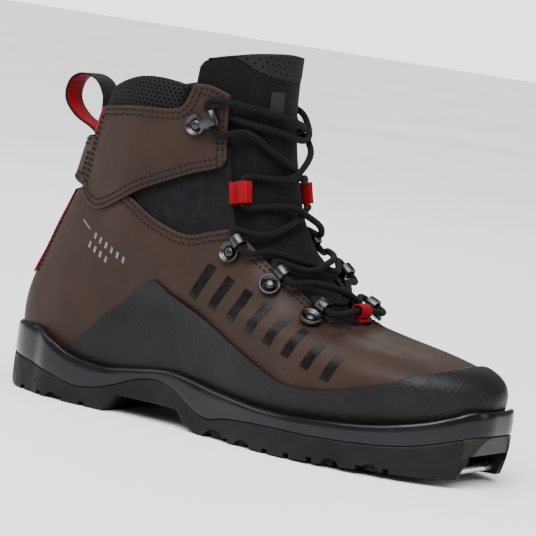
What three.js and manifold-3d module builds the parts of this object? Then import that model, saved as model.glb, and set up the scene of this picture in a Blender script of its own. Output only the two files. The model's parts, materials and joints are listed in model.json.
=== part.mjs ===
// Cross country (backcountry) ski boot for the right foot, with a sole for a toe-bar binding.
// Millimetres. +X points to the toe, -Y is the outer (lateral) side, +Z is up, the ground is z = 0.
import * as THREE from 'three';
import { mergeVertices } from 'three/addons/utils/BufferGeometryUtils.js';
import Module from 'manifold-3d';

const wasm = await Module();
wasm.setup();

// ---- Driving dimensions ----
const bootLength = 311;        // back of the heel cup to the nose of the sole
const ballWidth = 105;         // sole across the ball of the foot
const shaftHeight = 194;       // feather line to the top of the tongue
const leather = 1.8;           // lower and cuff leather
const randRubber = 1.4;
const stiffener = 1.2;         // toe puff and heel counter
const lining = 2.6;            // textile liner
const gussetCloth = 1.0;
const tonguePad = 5;
const collarPad = 11;
const cuffStandOff = 0.5;      // cuff leather over the lower, so that it can slide
const layerGap = 0.6;          // between the layers of the upper
const rimWall = 3;             // sole frame around the upper
const frameFloor = 1.6;        // sole frame under the upper
const seat = 0.4;              // clearance of a piece in its seat
const randGap = 0.95;          // the rand over the leather
const linerGap = 1.2;            // the soft liner inside the stiffeners
const upperSeat = 0.8;         // the upper in the sole frame
const boardThickness = 2;
const footbedThickness = 4;
const shankLength = 120;
const shankWidth = 16;
const shankThickness = 1.2;
const noseWidth = 63;
const noseDepth = 46;          // length of the straight-sided nose
const noseCorner = 25;
const barDiameter = 4.6;
const barSpan = 44;            // free length of the toe bar between the prongs
const barSocket = 7;           // depth of its seat in each prong
const barInset = 15;           // bar axis behind the tip of the nose
const barHeight = 8.5;
const recessHeight = 18;
const recessDepth = 27;
const guideWidth = 9;          // two lengthwise guide grooves for the ski's ridges
const guideSpacing = 21;
const guideDepth = 5.5;
const treadWidth = 3.2;
const treadDepth = 2.6;
const laceDiameter = 3.8;
const laceRoom = 1.1;            // around the lace in a loop
const eyeRadius = laceDiameter / 2 + laceRoom;
const eyeWall = 1;
const loopWidth = 6;
const cupRadius = 6.2;
const rivetRadius = 2.9;
const webbing = 1.1;
const sideWebWidth = 12;
const toeWebWidth = 10;
const pullLoopWidth = 17;
const cuffFlexMax = 15;        // degrees the cuff leans forward

// ---- The last: girth lines of the outside of the leather, for the sample size ----
const sample = { length: 311, width: 105, height: 194, feather: 17 };
const widthAngles = [0, 40.5, 78.5, 113.6, 149.3, 180];
// back and front are [x, z]; sag lowers the middle; outer and inner are the half widths of the
// ellipse at the back, heel, waist, ball, toe and front of the girth.
const girths = [
  { back: [9, 17], front: [299, 25], sag: -3, outer: [58, 44, 32, 49, 58, 62],
    inner: [58, 44, 29, 47, 60, 62] },
  { back: [3, 32], front: [305, 40], sag: -5, outer: [66, 49, 35, 53, 64, 69],
    inner: [66, 49, 31, 50, 65, 69] },
  { back: [2, 48], front: [303, 54], sag: -3, outer: [67, 51, 37, 53, 64, 68],
    inner: [67, 51, 34, 50, 65, 68] },
  { back: [5, 64], front: [283, 62], sag: 0, outer: [62, 50, 38, 50, 54, 52],
    inner: [62, 50, 37, 48, 54, 52] },
  { back: [12, 80], front: [224, 71], sag: 0, outer: [54, 48, 40, 46, 58, 52],
    inner: [54, 48, 40, 46, 58, 52] },
  { back: [18, 96], front: [199, 87], sag: 0, outer: [49, 45, 42, 42, 58, 56],
    inner: [49, 45, 42, 42, 58, 56] },
  { back: [25, 112], front: [181, 103], sag: 0, outer: [46, 44, 43, 40, 55, 56],
    inner: [46, 44, 43, 40, 54, 54] },
  { back: [31, 127], front: [169, 121], sag: 0, outer: [44, 43, 43, 40, 51, 53],
    inner: [44, 43, 43, 40, 50, 52] },
  { back: [35, 145], front: [161, 145], sag: 0, outer: [43, 43, 43, 40, 49, 50],
    inner: [43, 43, 43, 40, 48, 50] },
  { back: [40, 165], front: [155.5, 172], sag: 0, outer: [43, 43, 43, 40, 48, 49],
    inner: [43, 43, 43, 40, 46, 48] },
  { back: [44, 180], front: [154, 195], sag: 0, outer: [43, 43, 43, 40, 47, 48],
    inner: [43, 43, 43, 40, 45, 47] },
  { back: [47, 190], front: [154, 211], sag: 0, outer: [42, 42, 42, 40, 46, 47],
    inner: [42, 42, 42, 39, 44, 46] },
];
const topLevel = girths.length - 1;

const gradeX = (x) => x * bootLength / sample.length;
const gradeY = (y) => y * ballWidth / sample.width;
const gradeZ = (z) => sample.feather + (z - sample.feather) * shaftHeight / sample.height;
const clamp = (value, low, high) => Math.min(Math.max(value, low), high);
const smooth = (value) => THREE.MathUtils.smoothstep(value, 0, 1);
const radians = THREE.MathUtils.degToRad;

// Smooth run through evenly spaced values.
function along(values, t) {
  const i = clamp(Math.floor(t), 0, values.length - 2);
  const f = t - i;
  const p1 = values[i];
  const p2 = values[i + 1];
  const p0 = i > 0 ? values[i - 1] : 2 * p1 - p2;
  const p3 = i + 2 < values.length ? values[i + 2] : 2 * p2 - p1;
  return 0.5 * (2 * p1 + (p2 - p0) * f + (2 * p0 - 5 * p1 + 4 * p2 - p3) * f * f
    + (3 * p1 - p0 - 3 * p2 + p3) * f * f * f);
}

// Smooth run through values at the given places, level at both ends.
function through(places, values, at) {
  const last = places.length - 1;
  if (at <= places[0]) return values[0];
  if (at >= places[last]) return values[last];
  let i = 0;
  while (places[i + 1] < at) i += 1;
  const slope = (k) => (k === 0 || k === last ? 0
    : (values[k + 1] - values[k - 1]) / (places[k + 1] - places[k - 1]));
  const h = places[i + 1] - places[i];
  const t = (at - places[i]) / h;
  const s = 1 - t;
  return s * s * (1 + 2 * t) * values[i] + t * t * (3 - 2 * t) * values[i + 1]
    + s * s * t * h * slope(i) - t * t * s * h * slope(i + 1);
}

function girth(level) {
  const run = (pick) => along(girths.map(pick), level);
  return {
    backX: run((g) => g.back[0]), backZ: run((g) => g.back[1]),
    frontX: run((g) => g.front[0]), frontZ: run((g) => g.front[1]), sag: run((g) => g.sag),
    outer: widthAngles.map((_, k) => run((g) => g.outer[k])),
    inner: widthAngles.map((_, k) => run((g) => g.inner[k])),
  };
}

// Angle 0 is the back centre and 180 the front centre; positive goes round the lateral side.
const wrap = (angle) => (angle > 180 ? angle - 360 : angle < -180 ? angle + 360 : angle);

function onLast(level, angle) {
  const g = girth(level);
  const turn = wrap(angle);
  const theta = radians(Math.abs(turn));
  const q = (1 - Math.cos(theta)) / 2;
  const half = through(widthAngles, turn >= 0 ? g.outer : g.inner, Math.abs(turn));
  const x = g.backX + (g.frontX - g.backX) * q;
  const z = g.backZ + (g.frontZ - g.backZ) * q + g.sag * Math.sin(Math.PI * q) ** 2;
  return new THREE.Vector3(gradeX(x), gradeY(-Math.sign(turn) * half * Math.sin(theta)), gradeZ(z));
}

function normalAt(level, angle) {
  const up = onLast(Math.min(level + 0.02, topLevel), angle).sub(onLast(Math.max(level - 0.02, 0), angle));
  const round = onLast(level, angle + 0.5).sub(onLast(level, angle - 0.5));
  return round.cross(up).normalize();
}

const skin = (level, angle, offset) => onLast(level, angle).addScaledVector(normalAt(level, angle), offset);

// Level and angle of a point given in the sample's side view.
function locate(x, z) {
  let low = 0;
  let high = topLevel;
  let q = 0;
  for (let i = 0; i < 30; i += 1) {
    const level = (low + high) / 2;
    const g = girth(level);
    q = clamp((x - g.backX) / (g.frontX - g.backX), 0, 1);
    const height = g.backZ + (g.frontZ - g.backZ) * q + g.sag * Math.sin(Math.PI * q) ** 2;
    if (height > z) high = level;
    else low = level;
  }
  return { level: (low + high) / 2, angle: THREE.MathUtils.radToDeg(Math.acos(1 - 2 * q)) };
}

// Level at an angle whose point lies a height above the feather line.
function levelAbove(angle, height) {
  const target = onLast(0, angle).z + height;
  let low = 0;
  let high = topLevel;
  for (let i = 0; i < 30; i += 1) {
    const level = (low + high) / 2;
    if (onLast(level, angle).z > target) high = level;
    else low = level;
  }
  return (low + high) / 2;
}

// An edge across the upper, drawn in the side view from the back to the front.
function edge(points) {
  const spots = points.map(([x, z]) => locate(x, z));
  const places = spots.map((s) => s.angle);
  const levels = spots.map((s) => s.level);
  return (angle) => through(places, levels, Math.abs(wrap(angle)));
}

// An edge given as [angle, level] pairs.
function levels(pairs) {
  const places = pairs.map((p) => p[0]);
  const heights = pairs.map((p) => p[1]);
  return (angle) => through(places, heights, Math.abs(wrap(angle)));
}

// ---- Solids ----
function closedGeometry(points, faces) {
  const geometry = new THREE.BufferGeometry();
  const flat = points.flatMap((p) => [p.x, p.y, p.z]);
  geometry.setAttribute('position', new THREE.Float32BufferAttribute(flat, 3));
  geometry.setIndex(faces);
  return geometry;
}

// A wall that lies on the last between two angles and two edges, with an outer and an inner face.
function layer({ from, to, low, high, outer, inner, step = 6, rows = 8, spread = null }) {
  const closed = to - from === 360;
  const share = spread || Array.from({ length: rows + 1 }, (_, j) => j / rows);
  const count = Math.round((to - from) / step);
  const columns = count + 1 - (closed ? 1 : 0);
  const points = [];
  for (const face of [outer, inner]) {
    for (let i = 0; i < columns; i += 1) {
      const angle = from + (to - from) * i / count;
      for (const v of share) {
        const level = low(angle) + (high(angle) - low(angle)) * v;
        points.push(skin(level, angle, typeof face === 'function' ? face(angle, level, v) : face));
      }
    }
  }
  const last = share.length - 1;
  const id = (side, i, j) => (side * columns + (i % columns)) * share.length + j;
  const faces = [];
  let flip = false;
  const quad = (a, b, c, d) => (flip ? faces.push(a, b, d, b, c, d) : faces.push(a, b, c, a, c, d));
  for (let i = 0; i < count; i += 1) {
    flip = wrap(from + (to - from) * (i + 0.5) / count) < 0;
    for (let j = 0; j < last; j += 1) {
      quad(id(0, i, j), id(0, i + 1, j), id(0, i + 1, j + 1), id(0, i, j + 1));
      quad(id(1, i, j), id(1, i, j + 1), id(1, i + 1, j + 1), id(1, i + 1, j));
    }
    quad(id(0, i + 1, 0), id(0, i, 0), id(1, i, 0), id(1, i + 1, 0));
    quad(id(0, i, last), id(0, i + 1, last), id(1, i + 1, last), id(1, i, last));
  }
  for (let j = 0; j < last && !closed; j += 1) {
    quad(id(0, 0, j), id(0, 0, j + 1), id(1, 0, j + 1), id(1, 0, j));
    quad(id(0, count, j + 1), id(0, count, j), id(1, count, j), id(1, count, j + 1));
  }
  return closedGeometry(points, faces);
}

// A solid inside rings that share their number of points; each ring starts at the back centre.
function stack(rings) {
  const count = rings[0].length;
  const faces = [];
  for (let r = 0; r + 1 < rings.length; r += 1) {
    for (let i = 0; i < count; i += 1) {
      const a = r * count + i;
      const b = r * count + (i + 1) % count;
      faces.push(a, b, b + count, a, b + count, a + count);
    }
  }
  const top = (rings.length - 1) * count;
  for (let i = 0; i < count / 2; i += 1) {
    const mirror = (k) => (count - k) % count;
    const cap = (base, a, b, c) => faces.push(base + a, base + b, base + c);
    if (i > 0) {
      cap(0, i, mirror(i), i + 1);
      cap(top, i, i + 1, mirror(i));
    }
    if (i + 1 < count / 2) {
      cap(0, mirror(i), mirror(i + 1), i + 1);
      cap(top, mirror(i), i + 1, mirror(i + 1));
    }
  }
  return closedGeometry(rings.flat(), faces);
}

const ringAngles = Array.from({ length: 48 }, (_, i) => i * 7.5);
const ring = (level, offset, lift = 0) => ringAngles.map((angle) => {
  const inset = typeof offset === 'function' ? offset(angle) : offset;
  const base = onLast(level, angle);
  const normal = normalAt(level, angle).setZ(0).normalize();
  return new THREE.Vector3(base.x + normal.x * inset, base.y + normal.y * inset, base.z + lift);
});

// A flat piece that follows the feather line, between two heights above it.
const plank = (level, inset, below, above) => {
  const rise = (height) => ring(level, -inset).map((p, i) => {
    p.z = onLast(0, ringAngles[i]).z + height;
    return p;
  });
  return stack([rise(below), rise(above)]);
};

function manifold(geometry) {
  const bare = geometry.clone();
  bare.deleteAttribute('normal');
  bare.deleteAttribute('uv');
  const merged = mergeVertices(bare, 1e-4);
  return new wasm.Manifold(new wasm.Mesh({
    numProp: 3,
    vertProperties: new Float32Array(merged.attributes.position.array),
    triVerts: new Uint32Array(merged.index.array),
  }));
}

function geometryOf(solid) {
  const mesh = solid.getMesh();
  const geometry = new THREE.BufferGeometry();
  geometry.setAttribute('position', new THREE.Float32BufferAttribute(Array.from(mesh.vertProperties), 3));
  geometry.setIndex(Array.from(mesh.triVerts));
  return geometry;
}

const box = (x0, x1, y0, y1, z0, z1) => manifold(new THREE.BoxGeometry(x1 - x0, y1 - y0, z1 - z0)
  .translate((x0 + x1) / 2, (y0 + y1) / 2, (z0 + z1) / 2));

// A plan outline raised between two heights.
function raise(outline, low, high) {
  const shape = new THREE.Shape(outline.map((p) => new THREE.Vector2(p.x, p.y)));
  const settings = { depth: high - low, bevelEnabled: false, curveSegments: 6 };
  return manifold(new THREE.ExtrudeGeometry(shape, settings)
    .translate(0, 0, low));
}

// A side view outline of [x, z] points, as wide as the whole boot.
function sideways(points, width = 2 * ballWidth, curveSegments = 6) {
  const shape = points instanceof THREE.Shape ? points
    : new THREE.Shape(points.map(([x, z]) => new THREE.Vector2(x, z)));
  return new THREE.ExtrudeGeometry(shape, { depth: width, bevelEnabled: false, curveSegments })
    .translate(0, 0, -width / 2).rotateX(Math.PI / 2);
}

function smoothLine(points, pieces) {
  const curve = new THREE.SplineCurve(points.map(([x, z]) => new THREE.Vector2(gradeX(x), z)));
  return curve.getPoints(pieces).map((p) => [p.x, p.y]);
}

// ---- Sole ----
const randFace = randGap + randRubber;      // outer face of the rand over the leather
const randStart = 45;                        // degrees from the back centre
const cavityOffset = (angle) => upperSeat + randFace * smooth((Math.abs(wrap(angle)) - 34) / 8);
const noseTip = bootLength;
const barX = noseTip - barInset;
const soleTop = 60;

const soleEdge = ring(0.9, (angle) => cavityOffset(angle) + rimWall);
const noseShape = new THREE.Shape();
noseShape.moveTo(noseTip - noseDepth, -noseWidth / 2);
noseShape.lineTo(noseTip - noseCorner, -noseWidth / 2);
noseShape.quadraticCurveTo(noseTip, -noseWidth / 2, noseTip, -noseWidth / 2 + noseCorner);
noseShape.lineTo(noseTip, noseWidth / 2 - noseCorner);
noseShape.quadraticCurveTo(noseTip, noseWidth / 2, noseTip - noseCorner, noseWidth / 2);
noseShape.lineTo(noseTip - noseDepth, noseWidth / 2);
const soleBlock = raise(soleEdge, -10, soleTop).add(raise(noseShape.getPoints(9), -10, soleTop));

// Where the gloss frame meets the rubber, and the rim of the frame, along the side.
const jointLine = smoothLine([[-6, 20], [17, 18.3], [41, 14.8], [62, 10.5], [77, 12], [90, 16], [104, 21.5],
  [118, 23.5], [133, 19], [141, 14.5], [155, 10], [171, 13], [201, 15], [225, 15.2], [256, 16.7], [278, 19.3],
  [293, 23.2], [301, 26], [311, 29], [330, 29]], 28);
const rimLine = smoothLine([[-6, 36.5], [16, 37.7], [29, 38.3], [43, 32.8], [54, 28.2], [67, 25.6],
  [83, 24.8], [98, 27], [122, 30.3], [137, 29.4], [161, 26], [200, 23.2], [234, 24.9], [261, 27.7],
  [284, 32.8], [297, 37.6],  [305, 41.4], [315, 42.4], [330, 42.4]], 26);
const groundLine = [[-6, 9], [4, 5], [9, 1], [14, 0], [84, 0], [92, 10.5], [133, 10.5], [141, 3], [150, 0],
  [192, 0], [226, 1.4], [262, 3], [301, 4.6], [307, 18], [311, 28]].map(([x, z]) => [gradeX(x), z]);

const halfJoint = seat / 2;
const lift = (line, by) => line.map(([x, z]) => [x, z + by]);
const frameBand = manifold(sideways([...lift(jointLine, halfJoint), ...rimLine.slice().reverse()]));
const rubberBand = manifold(sideways([...groundLine, [gradeX(330), 28],
  ...lift(jointLine, -halfJoint).reverse()]));

const cavityLevels = [0.45, 1, 1.6, 2.2, 2.8];
const cavity = manifold(stack([ring(0, cavityOffset, -seat), ring(0, cavityOffset),
  ...cavityLevels.map((level) => ring(level, cavityOffset))]));
const floorPlate = (grow) => manifold(plank(0, -(1.4 + grow), -seat - frameFloor - grow, 6));

const shankMiddle = gradeX(118);
const shankFloor = onLast(0, 78).z;
const shankPocket = (grow) => box(shankMiddle - shankLength / 2 - grow, shankMiddle + shankLength / 2 + grow,
  -shankWidth / 2 - grow, shankWidth / 2 + grow, shankFloor - shankThickness - 0.4 - grow,
  shankFloor - 0.4 + (grow > 0 ? 3 : 0));

const soleFrame = frameBand.intersect(soleBlock).add(floorPlate(0)).subtract(cavity)
  .subtract(shankPocket(seat));

const recess = box(noseTip - recessDepth, noseTip + 10, -barSpan / 2, barSpan / 2, -10, recessHeight);
const barAlongY = (radius, length) => new THREE.CylinderGeometry(radius, radius, length, 20)
  .translate(barX, 0, barHeight);
const barLength = barSpan + 2 * barSocket;

let outsole = rubberBand.intersect(soleBlock).subtract(floorPlate(seat)).subtract(cavity).subtract(recess)
  .subtract(manifold(barAlongY(barDiameter / 2 + seat / 2, barLength + seat)));
for (const side of [-1, 1]) {
  const middle = side * guideSpacing / 2;
  outsole = outsole.subtract(box(-20, noseTip - recessDepth - 8,
    middle - guideWidth / 2, middle + guideWidth / 2,
    -1, guideDepth));
}
const treads = [22, 38, 54, 70, 158, 172, 186, 200, 214, 228, 242, 256, 270];
for (const x of treads) {
  const height = x > 192 ? (x - 192) * 0.042 : 0;
  for (const side of [-1, 1]) {
    const inside = side * (guideSpacing / 2 + guideWidth / 2 + 5);
    outsole = outsole.subtract(box(gradeX(x) - treadWidth / 2, gradeX(x) + treadWidth / 2,
      Math.min(inside, side * ballWidth), Math.max(inside, side * ballWidth), -1, height + treadDepth));
  }
}

// ---- Edges of the upper, in the side view ----
const feather = (height) => (angle) => levelAbove(angle, height);
const quarterTop = edge([[30.5, 118], [44, 119], [56, 122], [70, 123], [85, 121], [104, 111], [122, 106],
  [137, 110], [151, 113.5], [157, 110], [178, 95], [199, 81], [210, 73.8], [216, 72.6], [220.9, 72.3]]);
const randTop = edge([[50, 26], [54, 30], [66, 42], [80, 56], [96, 70], [105, 76.5], [113, 76.5], [142, 64],
  [172, 50], [195, 41], [209, 38.5], [227, 40], [244, 43.5], [260, 49], [277, 56], [288, 60], [296, 60.6]]);
const cuffTop = edge([[51, 167], [80, 171], [108, 173.5], [112, 178], [116, 188], [136, 184.5], [138, 180]]);
const cuffBottom = edge([[44, 119], [52, 113], [62, 110.3], [70, 112.5], [91, 125], [118, 138], [137, 145.5],
  [140, 150]]);
const collarTop = edge([[43, 177], [55, 182], [75, 188], [87, 189], [104, 187.5], [114, 186]]);
const gussetLow = edge([[56, 112], [70, 112], [85, 110], [104, 101], [122, 97], [137, 101], [149, 104]]);
const gussetHigh = edge([[56, 132], [70, 135], [91, 137], [118, 148], [139, 157]]);
const linerTop = levels([[0, 8.2], [106, 8.2], [112, 8], [118, 6.7], [124, 5.6], [132, 4.8], [140, 4.2],
  [150, 3.7], [180, 3.55]]);
const tongueLow = levels([[106, 8.75], [112, 8.5], [118, 7.2], [124, 6.05], [132, 5.2], [140, 4.55],
  [150, 4.0], [180, 3.85]]);
const tongueTop = levels([[106, 10.55], [109, 10.78], [114, 10.9], [130, 10.95], [180, 10.95]]);

const under = -(leather + layerGap);                 // first layer inside the leather
const stiffFace = under - layerGap;
const linerFace = stiffFace - stiffener - linerGap;
const tongueFace = under - gussetCloth - linerGap;
const cuffFront = 132;
const cuffRear = 38.5;
const seamGap = 1.2;                                 // degrees between panels that meet
const collarFront = 103;
const tongueEdge = 106;
const tongueSetBack = 1.7;                           // front of the tongue behind the leather's face

// The tongue lies under the lower and the cuff at its sides, and comes forward between them.
const tongueFront = (angle, level) => {
  const out = smooth((Math.abs(wrap(angle)) - 140) / 14) * smooth((level - 4.5) / 1.2);
  return tongueFace + (-tongueFace - tongueSetBack) * out;
};
const tongueBack = (angle, level, v) => tongueFace - tonguePad * (v > 0.96 ? 0.6 : 1);
// The collar starts as thin as the liner and swells towards its rolled top.
const roll = (v) => Math.sqrt(Math.max(0, 1 - ((v - 0.8) / 0.2) ** 2));
const collarMiddle = -1 - collarPad / 2;
const collarOuter = (angle, level, v) => {
  const face = THREE.MathUtils.lerp(linerFace, -0.4, smooth(v / 0.45));
  return v > 0.8 ? collarMiddle + (face - collarMiddle) * Math.max(roll(v), 0.3) : face;
};
const collarInner = (angle, level, v) => {
  const face = THREE.MathUtils.lerp(linerFace - lining, -1 - collarPad, smooth(v / 0.45));
  return v > 0.8 ? collarMiddle + (face - collarMiddle) * Math.max(roll(v), 0.3) : face;
};
const tabBulge = 5;
const tabSpread = cuffRear - seamGap;
const tabOuter = (angle) => cuffStandOff + leather
  + tabBulge * Math.cos(radians(angle * 90 / tabSpread)) ** 1.5;

// The back stripes: a flat one on the lower, and one that swells beside the pull loop.
const stripeSpread = 17.5;
const stripeLift = 0.3;
const wingSpread = 35;
const wingLow = levels([[0, 8.5], [15, 8.5], [20, 8.3]]);
const wingOuter = (angle) => 0.7 + 1.3 * smooth((Math.abs(wrap(angle)) - 15) / 8);

// Rows lie closer together where the upper turns over the toe and the instep.
const lowerRows = [0, 0.13, 0.26, 0.38, 0.49, 0.58, 0.66, 0.73, 0.8, 0.87, 0.94, 1];
const linerRows = [0, 0.17, 0.34, 0.5, 0.64, 0.77, 0.89, 1];
const tongueRows = [0, 0.03, 0.08, 0.15, 0.24, 0.35, 0.5, 0.66, 0.82, 0.94, 1];

// ---- Pieces ----
const boot = new THREE.Group();
const finishes = {
  brownLeather: { color: 0x4a332b, roughness: 0.72, metalness: 0 },
  randRubber: { color: 0x17181a, roughness: 0.5, metalness: 0 },
  glossFrame: { color: 0x0b0c0e, roughness: 0.16, metalness: 0 },
  soleRubber: { color: 0x131416, roughness: 0.75, metalness: 0 },
  steel: { color: 0xb9bcc0, roughness: 0.25, metalness: 1 },
  darkNickel: { color: 0x4b4c4e, roughness: 0.3, metalness: 1 },
  blackCloth: { color: 0x101113, roughness: 0.9, metalness: 0 },
  collarKnit: { color: 0x141518, roughness: 0.85, metalness: 0 },
  redWebbing: { color: 0xc4121f, roughness: 0.7, metalness: 0 },
  board: { color: 0x8b8273, roughness: 0.9, metalness: 0 },
  footbed: { color: 0x2e3034, roughness: 0.9, metalness: 0 },
  stiffener: { color: 0xb8b2a6, roughness: 0.7, metalness: 0 },
};
const materials = Object.fromEntries(Object.entries(finishes)
  .map(([name, look]) => [name, new THREE.MeshStandardMaterial(look)]));

function add(name, geometry, finish, matrix) {
  const mesh = new THREE.Mesh(geometry, materials[finish]);
  mesh.name = name;
  if (matrix) mesh.applyMatrix4(matrix);
  boot.add(mesh);
  return mesh;
}

add('outsole', geometryOf(outsole), 'soleRubber');
add('sole_frame', geometryOf(soleFrame), 'glossFrame');
add('toe_bar', barAlongY(barDiameter / 2, barLength - seat), 'steel');
add('shank_plate', geometryOf(shankPocket(0)), 'steel');
const boardBase = 0.3;
const randFoot = 1.3;
const linerFoot = boardBase + boardThickness + layerGap;
add('insole_board', plank(0, leather + layerGap, boardBase, boardBase + boardThickness), 'board');
add('footbed', plank(0.3, -linerFace + lining + 0.9, linerFoot, linerFoot + footbedThickness), 'footbed');

add('vamp_and_quarters', layer({ from: 0, to: 360, low: feather(0.3), high: quarterTop, outer: 0,
  inner: -leather, step: 7.5,
  spread: lowerRows }), 'brownLeather');
add('rand', layer({ from: randStart, to: 360 - randStart, low: feather(randFoot), high: randTop,
  outer: randFace, inner: randGap, step: 7.5, rows: 5 }), 'randRubber');
add('toe_puff', layer({ from: 120, to: 240, low: feather(linerFoot), high: levels([[120, 1.6], [180, 2.6]]),
  outer: stiffFace, inner: stiffFace - stiffener, step: 7.5, rows: 5 }), 'stiffener');
add('heel_counter', layer({ from: -67.5, to: 67.5, low: feather(linerFoot),
  high: levels([[0, 3.9], [67.5, 2.4]]), outer: stiffFace,
  inner: stiffFace - stiffener, step: 7.5, rows: 4 }), 'stiffener');
add('liner', layer({ from: 0, to: 360, low: feather(linerFoot), high: linerTop, outer: linerFace,
  inner: linerFace - lining, step: 11.25,
  spread: linerRows }), 'blackCloth');
for (const [name, side] of [['lateral', 1], ['medial', -1]]) {
  const span = (a, b) => (side > 0 ? { from: a, to: b } : { from: -b, to: -a });
  add(`gusset_${name}`, layer({ ...span(54, 134), low: gussetLow, high: gussetHigh, outer: under,
    inner: under - gussetCloth, step: 5, rows: 3 }), 'blackCloth');
  add(`cuff_${name}`, layer({ ...span(cuffRear, cuffFront), low: cuffBottom, high: cuffTop,
    outer: cuffStandOff + leather, inner: cuffStandOff, step: 5.5, rows: 5 }), 'brownLeather');
}
add('backstay_tab', layer({ from: -tabSpread, to: tabSpread, low: edge([[33.5, 121.5], [44, 120.5]]),
  high: edge([[36, 147], [49, 149]]), outer: tabOuter, inner: (angle) => tabOuter(angle) - leather,
  step: 6.2, rows: 2 }), 'brownLeather');
add('back_stripe', layer({ from: -stripeSpread, to: stripeSpread, low: levels([[0, 3.1]]),
  high: levels([[0, 6.3]]), outer: stripeLift + webbing, inner: stripeLift, step: 5,
  rows: 5 }), 'redWebbing');
add('back_stripe_upper', layer({ from: -wingSpread, to: wingSpread, low: wingLow,
  high: levels([[0, 9]]), outer: wingOuter, inner: -0.1, step: 4, rows: 2 }), 'redWebbing');
add('collar_pad', layer({ from: -collarFront, to: collarFront, low: levels([[0, 8.4]]), high: collarTop,
  outer: collarOuter, inner: collarInner, step: 12.875,
  spread: [0, 0.2, 0.42, 0.62, 0.8, 0.9, 0.97, 1] }), 'collarKnit');
add('tongue', layer({ from: tongueEdge, to: 360 - tongueEdge, low: tongueLow, high: tongueTop,
  outer: tongueFront, inner: tongueBack, step: 9.25,
  spread: tongueRows }), 'blackCloth');
add('tongue_lining', layer({ from: tongueEdge + 6, to: 354 - tongueEdge, low: levels([[0, 8.9]]),
  high: levels([[0, 10.85]]), outer: tongueFace - tonguePad - 0.4, inner: tongueFace - tonguePad - 1.4,
  step: 9, rows: 3 }), 'blackCloth');
add('tongue_label', layer({ from: 162, to: 172, low: levels([[0, 9.15]]), high: levels([[0, 9.85]]),
  outer: 0.9, inner: 0.1, step: 5, rows: 2 }), 'blackCloth');

// A ribbon of even thickness along a side view line.
function ribbon(points, thickness, pieces, width) {
  const curve = new THREE.SplineCurve(points.map(([x, z]) => new THREE.Vector2(gradeX(x), gradeZ(z))));
  const spots = curve.getSpacedPoints(pieces);
  const edges = [1, -1].map((side) => spots.map((spot, i) => {
    const ahead = curve.getTangentAt(i / pieces);
    return [spot.x - side * ahead.y * thickness / 2, spot.y + side * ahead.x * thickness / 2];
  }));
  return sideways([...edges[0], ...edges[1].reverse()], width);
}
add('pull_loop', ribbon([[33.4, 138], [34.3, 148.4], [30, 152.4], [19, 157.4], [11.7, 164], [9.8, 170.5],
  [12, 177.5], [17.5, 181.2], [24, 181.2], [30.5, 178], [34.9, 171], [35.6, 163], [35.8, 153], [35.6, 146],
  [35.3, 138]],
webbing, 26, pullLoopWidth), 'redWebbing');

// ---- Lace hardware ----
// A frame on the upper: X along the piece, Z out of the leather.
function mount(cup, eye, side, offset) {
  const a = locate(...cup);
  const b = locate(...eye);
  const origin = skin(a.level, side * a.angle, offset);
  const out = normalAt(a.level, side * a.angle);
  const ahead = skin(b.level, side * b.angle, offset).sub(origin).projectOnPlane(out).normalize();
  const across = new THREE.Vector3().crossVectors(out, ahead);
  return new THREE.Matrix4().makeBasis(ahead, across, out).setPosition(origin);
}

const turned = (profile, segments) => new THREE.LatheGeometry(
  profile.map(([r, z]) => new THREE.Vector2(r, z)), segments).rotateX(Math.PI / 2);
const cupHole = rivetRadius + seat;
const cup = manifold(turned([[cupHole, 0], [cupRadius - 0.4, 0], [cupRadius, 0.8], [cupRadius - 0.3, 2.2],
  [cupRadius - 1, 2.4], [cupHole, 1], [cupHole, 0]], 12));
const rivet = turned([[0, 0.1], [rivetRadius, 0.1], [rivetRadius, 1.2], [rivetRadius * 0.7, 2],
  [0, 2.3]], 10);

// A folded eye for the lace, with its foot towards the origin.
function eyeShape(foot, reach, radius, wall) {
  const shape = new THREE.Shape();
  const outside = radius + wall;
  shape.moveTo(foot, 0.2);
  shape.lineTo(reach, 0.2);
  shape.absarc(reach, outside + 0.2, outside, -Math.PI / 2, Math.PI * 0.72, false);
  shape.lineTo(foot, 0.2 + wall);
  const hole = new THREE.Path();
  hole.absarc(reach, outside + 0.2, radius, 0, 2 * Math.PI, true);
  shape.holes.push(hole);
  return shape;
}
const eyeReach = 8.6;
const eyeCentre = new THREE.Vector3(eyeReach, 0, eyeRadius + eyeWall + 0.2);
const strapEye = eyeShape(cupHole + 1, eyeReach, eyeRadius, eyeWall);
const loop = geometryOf(cup.add(manifold(sideways(strapEye, loopWidth, 5))));

// The speed hook: a plate folded back over itself, open towards its rivet.
const hookReach = 11;
const hookWidth = 8.5;
const hookShape = new THREE.Shape();
hookShape.moveTo(cupHole + 1, 0.2);
hookShape.lineTo(hookReach, 0.2);
hookShape.absarc(hookReach, 0.2 + eyeRadius + eyeWall, eyeRadius + eyeWall, -Math.PI / 2, Math.PI / 2, false);
hookShape.lineTo(4.5, 0.8 + 2 * (eyeRadius + eyeWall));
hookShape.lineTo(4.5, 2 * eyeRadius + eyeWall + 0.8);
hookShape.lineTo(hookReach, 2 * eyeRadius + eyeWall + 0.2);
hookShape.absarc(hookReach, 0.2 + eyeRadius + eyeWall, eyeRadius, Math.PI / 2, -Math.PI / 2, true);
hookShape.lineTo(cupHole + 1, 0.2 + eyeWall);
const hook = geometryOf(cup.add(manifold(sideways(hookShape, hookWidth, 5))));

const webShape = eyeShape(-5, 3.6, eyeRadius, webbing);
const webLoop = (width) => sideways(webShape, width, 5);
const webCentre = new THREE.Vector3(3.6, 0, eyeRadius + webbing + 0.2);

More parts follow.
